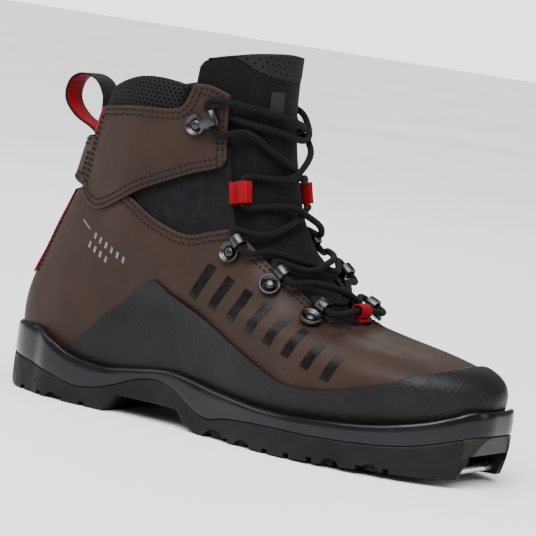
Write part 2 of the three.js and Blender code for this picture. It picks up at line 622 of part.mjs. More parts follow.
const loopSpots = [[[204.3, 72.4], [206.5, 76.5]], [[178.6, 87.2], [181.8, 91.6]],
  [[151.6, 100.8], [156.6, 106.2]]];
const hookSpot = [[120, 166], [133, 172.5]];
const webSpot = [[148, 133], [158, 134.5]];
const eyes = {};
function placeEye(key, matrix, centre, half, side) {
  const middle = centre.clone().applyMatrix4(matrix);
  const run = new THREE.Vector3().setFromMatrixColumn(matrix, 1).multiplyScalar(side * half);
  eyes[key] = { low: middle.clone().sub(run), middle, high: middle.clone().add(run) };
}
const hardwareLift = 1.3;
const webLift = 1.7;
const loopLifts = [2.1, 1.3, 1.3];   // the first pair sits on the hollow of the instep
const straightOut = laceDiameter * 1.5;      // the lace runs straight this far past an eye
const webStraight = laceDiameter * 0.6;
const toeStraight = laceDiameter * 0.9;
for (const [name, side] of [['lateral', 1], ['medial', -1]]) {
  loopSpots.forEach(([at, towards], i) => {
    const matrix = mount(at, towards, side, loopLifts[i]);
    add(`lace_loop_${name}_${i + 1}`, loop, 'darkNickel', matrix);
    add(`loop_rivet_${name}_${i + 1}`, rivet, 'darkNickel', matrix);
    placeEye(`${name}${i + 1}`, matrix, eyeCentre, loopWidth / 2 + straightOut, side);
  });
  const hookMatrix = mount(...hookSpot, side, hardwareLift + cuffStandOff + leather);
  add(`speed_hook_${name}`, hook, 'darkNickel', hookMatrix);
  add(`hook_rivet_${name}`, rivet, 'darkNickel', hookMatrix);
  placeEye(`${name}Hook`, hookMatrix, new THREE.Vector3(hookReach - 0.4, 0, eyeCentre.z),
    hookWidth / 2 + straightOut, side);
  const webMatrix = mount(...webSpot, side, under + webLift);
  add(`webbing_loop_${name}`, webLoop(sideWebWidth), 'redWebbing', webMatrix);
  placeEye(`${name}Web`, webMatrix, webCentre, sideWebWidth / 2 + webStraight, side);
}

// ---- Toe webbing loop, on the front centre at the foot of the throat ----
const toeWebSpot = { level: 4.15, ahead: 4.65 };
const toeWebOrigin = skin(toeWebSpot.level, 180, 1);
const toeWebOut = normalAt(toeWebSpot.level, 180);
const toeWebAhead = skin(toeWebSpot.ahead, 180, 1).sub(toeWebOrigin).projectOnPlane(toeWebOut).normalize();
const toeWebMatrix = new THREE.Matrix4().makeBasis(toeWebAhead,
  new THREE.Vector3().crossVectors(toeWebOut, toeWebAhead), toeWebOut).setPosition(toeWebOrigin);
add('webbing_loop_toe', webLoop(toeWebWidth), 'redWebbing', toeWebMatrix);
placeEye('toeWeb', toeWebMatrix, webCentre, toeWebWidth / 2 + toeStraight, 1);

// ---- Lace ----
// A line that goes through its points one step at a time.
class Route extends THREE.Curve {
  constructor(points) {
    super();
    this.points = points;
  }

  getPoint(t, target = new THREE.Vector3()) {
    const at = t * (this.points.length - 1);
    return target.set(...['x', 'y', 'z'].map((axis) => along(this.points.map((p) => p[axis]), at)));
  }

  getSpacedPoints() {
    return this.points;
  }

  getTangentAt(t, target) {
    return this.getTangent(t, target);
  }
}

const overTongue = laceDiameter / 2 + 0.8;
const crossing = laceDiameter + 0.7;
const nearEye = 3.6;                         // the lace rises this much towards an eye
const eyeLevel = (name) => {
  const side = name.startsWith('lateral') ? 1 : -1;
  const [one, two, three] = loopSpots.map((spot) => spot[1]);
  const spots = { Hook: hookSpot[1], Web: webSpot[1], 1: one, 2: two, 3: three };
  const spot = locate(...spots[name.replace(/lateral|medial/, '')]);
  return { level: spot.level, angle: side > 0 ? spot.angle : 360 - spot.angle };
};

// A strand across the tongue from one eye to another, above or below the one it crosses.
function strand(from, to, above, pieces = 4) {
  const a = eyeLevel(from);
  const b = eyeLevel(to);
  return Array.from({ length: pieces }, (_, i) => {
    const f = (i + 1) / (pieces + 1);
    const bump = above ? crossing * Math.exp(-(((f - 0.5) / 0.2) ** 2)) : 0;
    const near = Math.max(0, 1 - Math.min(f, 1 - f) / 0.25);
    return skin(a.level + (b.level - a.level) * f, a.angle + (b.angle - a.angle) * f,
      overTongue + bump + nearEye * near);
  });
}

const pass = (name, upwards) => {
  const eye = eyes[name];
  return upwards ? [eye.low, eye.middle, eye.high] : [eye.high, eye.middle, eye.low];
};
const spots = (list) => list.map(([level, angle, offset]) => skin(level, angle, offset));
const tuckDepth = cuffStandOff - 0.3 - laceDiameter / 2;

const laceRoute = [
  ...spots([[9.05, 129.5, tuckDepth], [9.05, 135, tuckDepth + 0.2], [9, 140, 0.8], [8.93, 150, overTongue],
    [8.85, 163, overTongue], [8.75, 178, overTongue], [8.68, 194, overTongue], [8.75, 207, overTongue + 2.6],
    [9, 219, overTongue + crossing], [9.3, 229, overTongue + crossing + 1]]),
  ...pass('medialHook', false),
  ...strand('medialHook', 'lateralWeb', true),
  ...pass('lateralWeb', false),
  ...strand('lateralWeb', 'medial3', true),
  ...pass('medial3', false),
  ...strand('medial3', 'lateral2', true),
  ...pass('lateral2', false),
  ...strand('lateral2', 'medial1', true),
  ...pass('medial1', false),
  eyes.toeWeb.low, eyes.toeWeb.middle, eyes.toeWeb.high,
  ...pass('lateral1', true),
  ...strand('lateral1', 'medial2', false),
  ...pass('medial2', true),
  ...strand('medial2', 'lateral3', false),
  ...pass('lateral3', true),
  ...strand('lateral3', 'medialWeb', false),
  ...pass('medialWeb', true),
  ...strand('medialWeb', 'lateralHook', false),
  ...pass('lateralHook', true),
  ...spots([[9.42, 133, overTongue + 2], [9.36, 140, overTongue], [9.3, 150, overTongue],
    [9.2, 164, overTongue + 1],
    [9.08, 180, overTongue + 0.6], [8.98, 196, overTongue], [8.9, 210, overTongue], [8.84, 220, 0.8],
    [8.8, 225, tuckDepth + 0.2], [8.78, 231, tuckDepth]]),
];
const laceSection = new THREE.Shape().absarc(0, 0, laceDiameter / 2, 0, 2 * Math.PI, false);
add('lace', new THREE.ExtrudeGeometry(laceSection, { steps: laceRoute.length - 1, curveSegments: 4,
  bevelEnabled: false, extrudePath: new Route(laceRoute) }), 'blackCloth');

// ---- Origin at the middle of the boot's box, on the ground ----
boot.updateMatrixWorld(true);
const extent = new THREE.Box3().setFromObject(boot, true);
const middle = extent.getCenter(new THREE.Vector3()).setZ(extent.min.z);
for (const mesh of boot.children) mesh.position.sub(middle);

export default boot;
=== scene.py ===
"""The looks of a backcountry ski boot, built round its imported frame."""

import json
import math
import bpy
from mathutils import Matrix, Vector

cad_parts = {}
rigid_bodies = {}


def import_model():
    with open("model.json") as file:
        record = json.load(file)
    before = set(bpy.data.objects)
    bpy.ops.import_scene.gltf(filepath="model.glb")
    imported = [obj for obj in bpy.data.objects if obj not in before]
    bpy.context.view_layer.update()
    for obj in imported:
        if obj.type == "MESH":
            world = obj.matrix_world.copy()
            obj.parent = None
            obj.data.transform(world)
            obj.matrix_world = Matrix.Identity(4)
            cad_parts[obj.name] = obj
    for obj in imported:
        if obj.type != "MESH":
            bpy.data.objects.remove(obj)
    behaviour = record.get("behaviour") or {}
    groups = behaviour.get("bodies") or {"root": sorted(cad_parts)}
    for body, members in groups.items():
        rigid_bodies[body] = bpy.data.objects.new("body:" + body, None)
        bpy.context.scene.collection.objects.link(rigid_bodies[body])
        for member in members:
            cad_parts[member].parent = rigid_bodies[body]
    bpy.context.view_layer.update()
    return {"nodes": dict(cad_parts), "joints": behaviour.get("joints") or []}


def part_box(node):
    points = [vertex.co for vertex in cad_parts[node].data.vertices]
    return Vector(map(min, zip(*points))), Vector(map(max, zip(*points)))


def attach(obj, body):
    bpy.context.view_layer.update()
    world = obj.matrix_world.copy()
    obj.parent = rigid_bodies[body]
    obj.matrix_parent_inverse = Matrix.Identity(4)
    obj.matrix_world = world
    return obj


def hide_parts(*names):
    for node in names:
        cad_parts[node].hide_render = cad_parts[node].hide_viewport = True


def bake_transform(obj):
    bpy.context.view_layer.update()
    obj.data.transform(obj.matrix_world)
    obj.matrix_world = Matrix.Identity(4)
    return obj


bl_info = {
    "name": "Backcountry ski boot",
    "version": (1, 0, 0),
    "blender": (4, 5, 0),
    "location": "3D View > Sidebar > Boot",
    "description": "Leather, rubber, cloth, metal and lace of a toe-bar ski boot, built round its frame",
    "category": "Object",
}

import bpy
import numpy as np
from mathutils import Matrix, Vector
from mathutils.bvhtree import BVHTree

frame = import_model()

MM = 0.001
LENGTH = 311.0
BAR_INSET = 15.0
BAR_LOW, BAR_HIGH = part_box("toe_bar")
HEEL = np.array([LENGTH - BAR_INSET - (BAR_LOW.x + BAR_HIGH.x) / 2 / MM,
                 -(BAR_LOW.y + BAR_HIGH.y) / 2 / MM, 0])
HINGE = frame["joints"][0]["pos_m"]
LOWER, CUFF = "lower", "cuff"


def to_row(points):
    """Millimetres from the heel to metres in the row frame."""
    return (np.asarray(points, float) - HEEL) * MM


def unit(vectors):
    return vectors / np.linalg.norm(vectors, axis=-1, keepdims=True)


def run_along(line):
    """Distance along a line of points, from its start."""
    return np.concatenate([[0], np.cumsum(np.linalg.norm(np.diff(line, axis=0), axis=1))])


def halved(low, high, past, steps=32):
    """Narrows each span to where past turns true; gives the last middles and the spans."""
    for _ in range(steps):
        middle = (low + high) / 2
        over = past(middle)
        low, high = np.where(over, low, middle), np.where(over, middle, high)
    return middle, low, high


# ---- The last ----
WIDTH_ANGLES = np.array([0, 40.5, 78.5, 113.6, 149.3, 180])
# Each row is a girth: back x and z, front x and z, sag, six half widths outside and six inside
GIRTHS = np.array([
    [9, 17, 299, 25, -3, 58, 44, 32, 49, 58, 62, 58, 44, 29, 47, 60, 62],
    [3, 32, 305, 40, -5, 66, 49, 35, 53, 64, 69, 66, 49, 31, 50, 65, 69],
    [2, 48, 303, 54, -3, 67, 51, 37, 53, 64, 68, 67, 51, 34, 50, 65, 68],
    [5, 64, 283, 62, 0, 62, 50, 38, 50, 54, 52, 62, 50, 37, 48, 54, 52],
    [12, 80, 224, 71, 0, 54, 48, 40, 46, 58, 52, 54, 48, 40, 46, 58, 52],
    [18, 96, 199, 87, 0, 49, 45, 42, 42, 58, 56, 49, 45, 42, 42, 58, 56],
    [25, 112, 181, 103, 0, 46, 44, 43, 40, 55, 56, 46, 44, 43, 40, 54, 54],
    [31, 127, 169, 121, 0, 44, 43, 43, 40, 51, 53, 44, 43, 43, 40, 50, 52],
    [35, 145, 161, 145, 0, 43, 43, 43, 40, 49, 50, 43, 43, 43, 40, 48, 50],
    [40, 165, 155.5, 172, 0, 43, 43, 43, 40, 48, 49, 43, 43, 43, 40, 46, 48],
    [44, 180, 154, 195, 0, 43, 43, 43, 40, 47, 48, 43, 43, 43, 40, 45, 47],
    [47, 190, 154, 211, 0, 42, 42, 42, 40, 46, 47, 42, 42, 42, 39, 44, 46],
], float)
TOP_LEVEL = len(GIRTHS) - 1


def between_rows(table, at):
    """Smooth run through the rows of a table, at row numbers with a share of the next row."""
    last = len(table) - 1
    i = np.clip(np.floor(at).astype(int), 0, last - 1)
    f = (at - i)[..., None]
    p1, p2 = table[i], table[i + 1]
    p0 = np.where((i > 0)[..., None], table[np.maximum(i - 1, 0)], 2 * p1 - p2)
    p3 = np.where((i + 2 <= last)[..., None], table[np.minimum(i + 2, last)], 2 * p2 - p1)
    return 0.5 * (2 * p1 + (p2 - p0) * f + (2 * p0 - 5 * p1 + 4 * p2 - p3) * f * f
                  + (3 * p1 - p0 - 3 * p2 + p3) * f ** 3)


def girth_at(level):
    return between_rows(GIRTHS, np.asarray(level, float))


def through(places, values, at):
    """Smooth run through values at the given places, level at both ends; values may have rows per point."""
    places = np.asarray(places, float)
    values = np.asarray(values, float)
    at = np.clip(np.asarray(at, float), places[0], places[-1])
    slopes = np.zeros_like(values)
    slopes[..., 1:-1] = (values[..., 2:] - values[..., :-2]) / (places[2:] - places[:-2])
    i = np.clip(np.searchsorted(places, at, side="right") - 1, 0, len(places) - 2)

    def pick(table, k):
        return table[k] if values.ndim == 1 else np.take_along_axis(table, k[..., None], -1)[..., 0]

    h = places[i + 1] - places[i]
    t = (at - places[i]) / h
    s = 1 - t
    return (s * s * (1 + 2 * t) * pick(values, i) + t * t * (3 - 2 * t) * pick(values, i + 1)
            + s * s * t * h * pick(slopes, i) - t * t * s * h * pick(slopes, i + 1))


def wrap(angle):
    return (np.asarray(angle, float) + 180) % 360 - 180


def on_last(level, angle):
    level, angle = np.broadcast_arrays(np.asarray(level, float), np.asarray(angle, float))
    rows = girth_at(level)
    turn = wrap(angle)
    theta = np.radians(np.abs(turn))
    q = (1 - np.cos(theta)) / 2
    half = np.where(turn >= 0, through(WIDTH_ANGLES, rows[..., 5:11], np.abs(turn)),
                    through(WIDTH_ANGLES, rows[..., 11:17], np.abs(turn)))
    x = rows[..., 0] + (rows[..., 2] - rows[..., 0]) * q
    y = -np.sign(turn) * half * np.sin(theta)
    z = rows[..., 1] + (rows[..., 3] - rows[..., 1]) * q + rows[..., 4] * np.sin(np.pi * q) ** 2
    return np.stack([x, y, z], -1)


def normal_at(level, angle):
    up = (on_last(np.minimum(np.asarray(level) + 0.02, TOP_LEVEL), angle)
          - on_last(np.maximum(np.asarray(level) - 0.02, 0), angle))
    round_ = on_last(level, np.asarray(angle) + 0.5) - on_last(level, np.asarray(angle) - 0.5)
    return unit(np.cross(round_, up))


def skin(level, angle, offset):
    return on_last(level, angle) + normal_at(level, angle) * np.asarray(offset, float)[..., None]


def locate(x, z):
    """Level and angle of points given in the side view."""
    x, z = np.asarray(x, float), np.asarray(z, float)

    def ahead_and_height(level):
        g = girth_at(level)
        q = np.clip((x - g[..., 0]) / (g[..., 2] - g[..., 0]), 0, 1)
        return q, g[..., 1] + (g[..., 3] - g[..., 1]) * q + g[..., 4] * np.sin(np.pi * q) ** 2

    level = halved(np.zeros_like(x), np.full_like(x, TOP_LEVEL), lambda at: ahead_and_height(at)[1] > z)[0]
    return level, np.degrees(np.arccos(1 - 2 * ahead_and_height(level)[0]))


def level_above(angle, height):
    angle = np.asarray(angle, float)
    target = on_last(np.zeros_like(angle), angle)[..., 2] + height
    _, low, high = halved(np.zeros_like(angle), np.full_like(angle, TOP_LEVEL),
                          lambda level: on_last(level, angle)[..., 2] > target, 30)
    return (low + high) / 2


def edge(points):
    """An edge across the upper, drawn in the side view from the back to the front."""
    spots = np.array(points, float)
    levels_, places = locate(spots[:, 0], spots[:, 1])
    return lambda angle: through(places, levels_, np.abs(wrap(angle)))


def levels(pairs):
    """An edge given as angle and level pairs."""
    if len(pairs) == 1:
        return lambda angle: np.full_like(np.asarray(angle, float), pairs[0][1])
    table = np.array(pairs, float)
    return lambda angle: through(table[:, 0], table[:, 1], np.abs(wrap(angle)))


def feather(height):
    return lambda angle: level_above(angle, height)


def smooth(value):
    value = np.clip(value, 0, 1)
    return value * value * (3 - 2 * value)


# ---- Sizes of the layers, in millimetres ----
LEATHER, STIFFENER, LINING, GUSSET = 1.8, 1.2, 2.6, 1.0
TONGUE_PAD, COLLAR_PAD, CUFF_STAND_OFF, LAYER_GAP = 5, 11, 0.5, 0.6
RAND_GAP, RAND_RUBBER, LINER_GAP, UPPER_SEAT, RIM_WALL = 0.95, 1.4, 1.2, 0.8, 3
RAND_FACE = RAND_GAP + RAND_RUBBER
UNDER = -(LEATHER + LAYER_GAP)
LINER_FACE = UNDER - LAYER_GAP - STIFFENER - LINER_GAP
TONGUE_FACE = UNDER - GUSSET - LINER_GAP
TONGUE_SET_BACK = 1.7
RAND_START, CUFF_FRONT, CUFF_REAR, SEAM_GAP, COLLAR_FRONT, TONGUE_EDGE = 45, 132, 38.5, 1.2, 103, 106
TAB_SPREAD, TAB_BULGE = CUFF_REAR - SEAM_GAP, 5.0
LACE, EYE_RADIUS, EYE_WALL, WEBBING = 3.8, 3.0, 1, 1.1

# ---- Edges of the upper, in the side view ----
QUARTER_TOP = edge([[30.5, 118], [44, 119], [56, 122], [70, 123], [85, 121], [104, 111], [122, 106],
                    [137, 110], [151, 113.5], [157, 110], [178, 95], [199, 81], [210, 73.8], [216, 72.6],
                    [220.9, 72.3]])
RAND_TOP = edge([[50, 26], [54, 30], [66, 42], [80, 56], [96, 70], [105, 76.5], [113, 76.5], [142, 64],
                 [172, 50], [195, 41], [209, 38.5], [227, 40], [244, 43.5], [260, 49], [277, 56], [288, 60],
                 [296, 60.6]])
CUFF_TOP = edge([[51, 167], [80, 171], [108, 173.5], [112, 178], [116, 188], [136, 184.5], [138, 180]])
CUFF_BOTTOM = edge([[44, 119], [52, 113], [62, 110.3], [70, 112.5], [91, 125], [118, 138], [137, 145.5],
                    [140, 150]])
COLLAR_TOP = edge([[43, 177], [55, 182], [75, 188], [87, 189], [104, 187.5], [114, 186]])
GUSSET_LOW = edge([[56, 112], [70, 112], [85, 110], [104, 101], [122, 97], [137, 101], [149, 104]])
GUSSET_HIGH = edge([[56, 132], [70, 135], [91, 137], [118, 148], [139, 157]])
LINER_TOP = levels([[0, 8.2], [106, 8.2], [112, 8], [118, 6.7], [124, 5.6], [132, 4.8], [140, 4.2],
                    [150, 3.7], [180, 3.55]])
TONGUE_LOW = levels([[106, 8.75], [112, 8.5], [118, 7.2], [124, 6.05], [132, 5.2], [140, 4.55],
                     [150, 4.0], [180, 3.85]])
TONGUE_TOP = levels([[106, 10.55], [109, 10.78], [114, 10.9], [130, 10.95], [180, 10.95]])
TAB_LOW = edge([[33.5, 121.5], [44, 120.5]])
TAB_HIGH = edge([[36, 147], [49, 149]])


# ---- Meshes ----
def new_piece(name, points, faces, uvs=None):
    """A mesh piece from points in metres; uvs are given per point, in millimetres."""
    mesh = bpy.data.meshes.new(name)
    mesh.from_pydata(np.asarray(points, float).tolist(), [], [list(map(int, f)) for f in faces])
    mesh.validate()
    if uvs is not None:
        layer = mesh.uv_layers.new(name="UVMap")
        corner = np.zeros(len(mesh.loops), np.int32)
        mesh.loops.foreach_get("vertex_index", corner)
        layer.data.foreach_set("uv", np.asarray(uvs, np.float32)[corner].ravel())
    piece = bpy.data.objects.new(name, mesh)
    bpy.context.scene.collection.objects.link(piece)
    return piece


def only(piece):
    bpy.ops.object.select_all(action="DESELECT")
    piece.select_set(True)
    bpy.context.view_layer.objects.active = piece
    return piece


def soften(piece, degrees=40):
    only(piece)
    bpy.ops.object.shade_smooth_by_angle(angle=math.radians(degrees))
    return piece


def outwards(piece):
    only(piece)
    bpy.ops.object.mode_set(mode="EDIT")
    bpy.ops.mesh.select_all(action="SELECT")
    bpy.ops.mesh.normals_make_consistent(inside=False)
    bpy.ops.object.mode_set(mode="OBJECT")
    return piece


def weld(piece, reach):
    """Joins the vertices that lie on each other."""
    only(piece)
    bpy.ops.object.mode_set(mode="EDIT")
    bpy.ops.mesh.select_all(action="SELECT")
    bpy.ops.mesh.remove_doubles(threshold=reach)
    bpy.ops.mesh.dissolve_degenerate(threshold=reach)
    bpy.ops.object.mode_set(mode="OBJECT")


def modify(piece, kind, **settings):
    only(piece)
    bpy.ops.object.modifier_add(type=kind)
    modifier = piece.modifiers[-1]
    for key, value in settings.items():
        setattr(modifier, key, value)
    bpy.ops.object.modifier_apply(modifier=modifier.name)
    return piece


def finish_piece(piece, material, slot, *nodes, body=None, bend=None):
    piece.data.materials.clear()
    piece.data.materials.append(material)
    if bend:
        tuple(bend[0])
        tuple(bend[1])
        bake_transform(piece)
    else:
        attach(piece, body)
    if nodes:
        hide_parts(*nodes)
    return piece


def arc_steps(count):
    return [math.pi / 2 * k / count for k in range(count + 1)]


def wall(name, span, low, high, outer, inner, columns, rows, radius=0.5, end_radius=None):
    """A layer on the last with rounded edges. Both faces run between two angles and two edges."""
    closed = abs(span[1] - span[0] - 360) < 1e-6
    section = [(k / rows, 0, 0) for k in range(1, rows)]
    turns = arc_steps(3)
    top = [(1, -radius * (1 - math.sin(t)), (1 - math.cos(t)) / 2) for t in turns]
    up = section + top
    down = [(v, d, 1 - w) for v, d, w in reversed(section + top[:-1])]
    foot = [(0, radius * (1 - math.sin(t)), 1 - (1 - math.cos(t)) / 2) for t in turns]
    rise = [(v, d, 1 - w) for v, d, w in reversed(foot[:-1])]
    profile = np.array(up + down + foot + rise)
    angles = np.linspace(span[0], span[1], columns + 1)
    pinch = np.ones(columns + 1)
    if closed:
        angles, pinch = angles[:-1], pinch[:-1]
    else:
        reach = radius if end_radius is None else end_radius
        middle = (low(angles[:1])[0] + high(angles[:1])[0]) / 2
        per_mm = 1 / np.linalg.norm(on_last(middle, span[0] + 0.5) - on_last(middle, span[0] - 0.5))
        lead = [reach * (1 - math.sin(t)) * per_mm for t in turns]
        inner_angles = angles[(angles > span[0] + lead[0]) & (angles < span[1] - lead[0])]
        first = np.array([span[0] + a for a in lead])
        last = np.array([span[1] - a for a in reversed(lead)])
        angles = np.concatenate([first[::-1], inner_angles, last[::-1]])
        squeeze = np.array([max(1 - (1 - a / max(lead[0], 1e-9)) ** 2, 0) ** 0.5 for a in lead])
        pinch = np.concatenate([squeeze[::-1], np.ones(len(inner_angles)), squeeze])
    a = angles[:, None] + 0 * profile[:, 0][None, :]
    lo, hi = low(angles)[:, None], high(angles)[:, None]
    rise_mm = np.linalg.norm(on_last(hi[:, 0], angles) - on_last(lo[:, 0], angles), axis=1)[:, None]
    v = profile[:, 0][None, :] + profile[:, 1][None, :] / rise_mm
    w = 0.5 + (profile[:, 2][None, :] - 0.5) * pinch[:, None]
    level = lo + (hi - lo) * v
    out = outer(a, level, v) if callable(outer) else np.full_like(a, outer)
    into = inner(a, level, v) if callable(inner) else np.full_like(a, inner)
    points = skin(level, a, out * (1 - w) + into * w)
    count, loop = points.shape[:2]
    u = run_along(points[:, rows // 2])[:, None] + 0 * v
    climb = np.linalg.norm(np.diff(points[:, : rows + 3], axis=1), axis=2)
    upright = v * climb.sum(1)[:, None]
    uvs = np.stack([u, upright], -1).reshape(-1, 2)
    faces = []
    ring = count if closed else count - 1
    for i in range(ring):
        j = (i + 1) % count
        for k in range(loop):
            n = (k + 1) % loop
            faces.append((i * loop + k, j * loop + k, j * loop + n, i * loop + n))
    piece = new_piece(name, to_row(points.reshape(-1, 3)), faces, uvs)
    if not closed:
        weld(piece, 1e-7)
    return soften(piece, 50)


# ---- Finishes ----
class Look:
    """A procedural finish, built node by node. Object coordinates are metres, UV maps are millimetres."""

    def __init__(self, name, colour, roughness, metallic=0.0, on_cloth=False, **extra):
        self.material = bpy.data.materials.new(name)
        self.material.use_nodes = True
        self.nodes = self.material.node_tree.nodes
        self.links = self.material.node_tree.links
        self.shader = self.nodes["Principled BSDF"]
        self.shader.inputs["Base Color"].default_value = (*colour, 1)
        self.shader.inputs["Roughness"].default_value = roughness
        self.shader.inputs["Metallic"].default_value = metallic
        for socket, value in extra.items():
            self.shader.inputs[socket.replace("_", " ")].default_value = value
        where = self.nodes.new("ShaderNodeTexCoord")
        self.place = where.outputs["UV" if on_cloth else "Object"]

    def node(self, kind, inputs=None, **settings):
        made = self.nodes.new(kind)
        for key, value in settings.items():
            setattr(made, key, value)
        for key, value in (inputs or {}).items():
            if isinstance(value, bpy.types.NodeSocket):
                self.links.new(value, made.inputs[key])
            else:
                made.inputs[key].default_value = value
        return made

    def noise(self, size, detail=3.0, roughness=0.55):
        made = self.node("ShaderNodeTexNoise", {"Vector": self.place, "Scale": 1 / size, "Detail": detail,
                                                "Roughness": roughness})
        return made.outputs["Fac"]

    def pebbles(self, size, softness=0.6):
        made = self.node("ShaderNodeTexVoronoi",
                         {"Vector": self.place, "Scale": 1 / size, "Smoothness": softness},
                         feature="SMOOTH_F1")
        return made.outputs["Distance"]

    def distance(self, x, y):
        """Distance of a place from the middle, from its two sides."""
        return self.math("SQRT", self.math("ADD", self.math("MULTIPLY", x, x), self.math("MULTIPLY", y, y)))

    def math(self, operation, a, b=0.0):
        return self.node("ShaderNodeMath", {0: a, 1: b}, operation=operation).outputs[0]

    def ramp(self, value, low, high, to_low=0.0, to_high=1.0):
        made = self.node("ShaderNodeMapRange", {"Value": value, "From Min": low, "From Max": high,
                                                "To Min": to_low, "To Max": to_high},
                         interpolation_type="SMOOTHSTEP")
        return made.outputs["Result"]

    def cell(self, pitch_x, pitch_y, shift=(0, 0)):
        """Place within a repeating cell, from -0.5 to 0.5 each way."""
        scaled = self.node("ShaderNodeVectorMath", {0: self.place, 1: (1 / pitch_x, 1 / pitch_y, 0)},
                           operation="MULTIPLY").outputs[0]
        moved = self.node("ShaderNodeVectorMath", {0: scaled, 1: (*shift, 0)}, operation="ADD").outputs[0]
        return self.node("ShaderNodeVectorMath", {0: moved, 1: (0.5, 0.5, 0.5), 2: (-0.5, -0.5, -0.5)},
                         operation="WRAP").outputs[0]

    def split(self, vector):
        parts = self.node("ShaderNodeSeparateXYZ", {0: vector})
        return parts.outputs[0], parts.outputs[1]

    def wave(self, size, across=True):
        x, y = self.split(self.place)
        return self.math("SINE", self.math("MULTIPLY", x if across else y, 2 * math.pi / size))

    def colours(self, factor, *stops):
        made = self.node("ShaderNodeValToRGB", {"Fac": factor})
        band = made.color_ramp
        while len(band.elements) < len(stops):
            band.elements.new(0.5)
        for element, (at, colour) in zip(band.elements, stops):
            element.position = at
            element.color = (*colour, 1)
        self.links.new(made.outputs["Color"], self.shader.inputs["Base Color"])
        return self

    def rough(self, value):
        self.links.new(value, self.shader.inputs["Roughness"])
        return self

    def bumps(self, *layers):
        """Each layer is a height, its strength and its depth in metres."""
        before = None
        for height, strength, depth in layers:
            inputs = {"Height": height, "Strength": strength, "Distance": depth}
            if before is not None:
                inputs["Normal"] = before
            before = self.node("ShaderNodeBump", inputs).outputs["Normal"]
        self.links.new(before, self.shader.inputs["Normal"])
        return self


def shade(colour, factor):
    return tuple(c * factor for c in colour)


def leather_look(colour):
    look = Look("brown_leather", colour, 0.6, Specular_IOR_Level=0.14)
    cloud, pores = look.noise(0.028, 4), look.pebbles(0.0011)
    look.colours(cloud, (0.28, shade(colour, 0.8)), (0.52, colour), (0.78, shade(colour, 1.22)))
    look.rough(look.ramp(look.noise(0.012, 3), 0.3, 0.7, 0.5, 0.58))
    return look.bumps((look.noise(0.012, 2), 0.12, 0.0006), (pores, 0.35, 0.00014),
                      (look.noise(0.0006, 2), 0.3, 0.00007)).material


def rand_look():
    look = Look("pebbled_rubber", (0.006, 0.006, 0.0065), 0.42, Specular_IOR_Level=0.13)
    look.rough(look.ramp(look.noise(0.004, 2), 0.3, 0.7, 0.36, 0.48))
    look.colours(look.noise(0.03, 3), (0.3, (0.005, 0.005, 0.0055)), (0.7, (0.008, 0.008, 0.0085)))
    grain, pores = look.pebbles(0.0013, 0.5), look.noise(0.0007, 2)
    return look.bumps((grain, 0.7, 0.0003), (pores, 0.25, 0.0001)).material


def gloss_look():
    look = Look("gloss_frame", (0.004, 0.004, 0.005), 0.2, Coat_Weight=0.08, Coat_Roughness=0.08,
                Specular_IOR_Level=0.16)
    look.rough(look.ramp(look.noise(0.02, 4), 0.3, 0.7, 0.12, 0.24))
    look.colours(look.noise(0.04, 2), (0.3, (0.004, 0.004, 0.005)), (0.7, (0.008, 0.008, 0.009)))
    return look.bumps((look.noise(0.03, 2), 0.1, 0.0006)).material


def rubber_look():
    look = Look("sole_rubber", (0.006, 0.006, 0.0065), 0.55, Specular_IOR_Level=0.12)
    look.rough(look.ramp(look.noise(0.005, 3), 0.3, 0.7, 0.5, 0.68))
    look.colours(look.noise(0.02, 3), (0.3, (0.004, 0.004, 0.0045)), (0.7, (0.008, 0.008, 0.0085)))
    return look.bumps((look.noise(0.0009, 3), 0.35, 0.00012)).material


# The sole rubber in a lighter grey for the nose's front face: a painted highlight, where the light from the
# front falls on that face.
def toe_face_highlight_look():
    look = Look("painted_toe_highlight", (0.011, 0.0107, 0.0104), 0.5, Specular_IOR_Level=0.14)
    look.colours(look.noise(0.004, 3), (0.3, (0.009, 0.0088, 0.0086)), (0.7, (0.013, 0.0127, 0.0124)))
    return look.bumps((look.noise(0.0008, 3), 0.3, 0.0001)).material


def steel_look():
    look = Look("bright_steel", (0.62, 0.63, 0.65), 0.22, 1.0)
    look.rough(look.ramp(look.noise(0.002, 4), 0.3, 0.7, 0.16, 0.34))
    return look.bumps((look.noise(0.0005, 3), 0.15, 0.00004)).material


def nickel_look():
    look = Look("dark_nickel", (0.045, 0.045, 0.047), 0.3, 1.0)
    look.colours(look.noise(0.004, 3), (0.3, (0.035, 0.035, 0.037)), (0.7, (0.06, 0.06, 0.061)))
    look.rough(look.ramp(look.noise(0.003, 3), 0.3, 0.7, 0.26, 0.36))
    return look.bumps((look.noise(0.0012, 2), 0.1, 0.00002)).material


# What every woven cloth shares
CLOTH = {"on_cloth": True, "Sheen_Weight": 0.01, "Specular_IOR_Level": 0.08}


def ripstop_look():
    look = Look("ripstop_cloth", (0.005, 0.005, 0.0055), 0.72, **CLOTH)
    x, y = look.split(look.cell(3.4, 3.4))
    nearest = look.math("MINIMUM", look.math("ABSOLUTE", x), look.math("ABSOLUTE", y))
    cords = look.ramp(nearest, 0.04, 0.1, 1.0, 0.0)
    weave = look.math("MULTIPLY", look.wave(0.7), look.wave(0.7, False))
    # The raised grid cords are painted lighter than the cloth between them: painted sheen on the cords,
    # beside their bump.
    look.colours(cords, (0.0, (0.003, 0.003, 0.0033)), (1.0, (0.006, 0.006, 0.0065)))
    return look.bumps((cords, 0.5, 0.0002), (weave, 0.4, 0.0001)).material


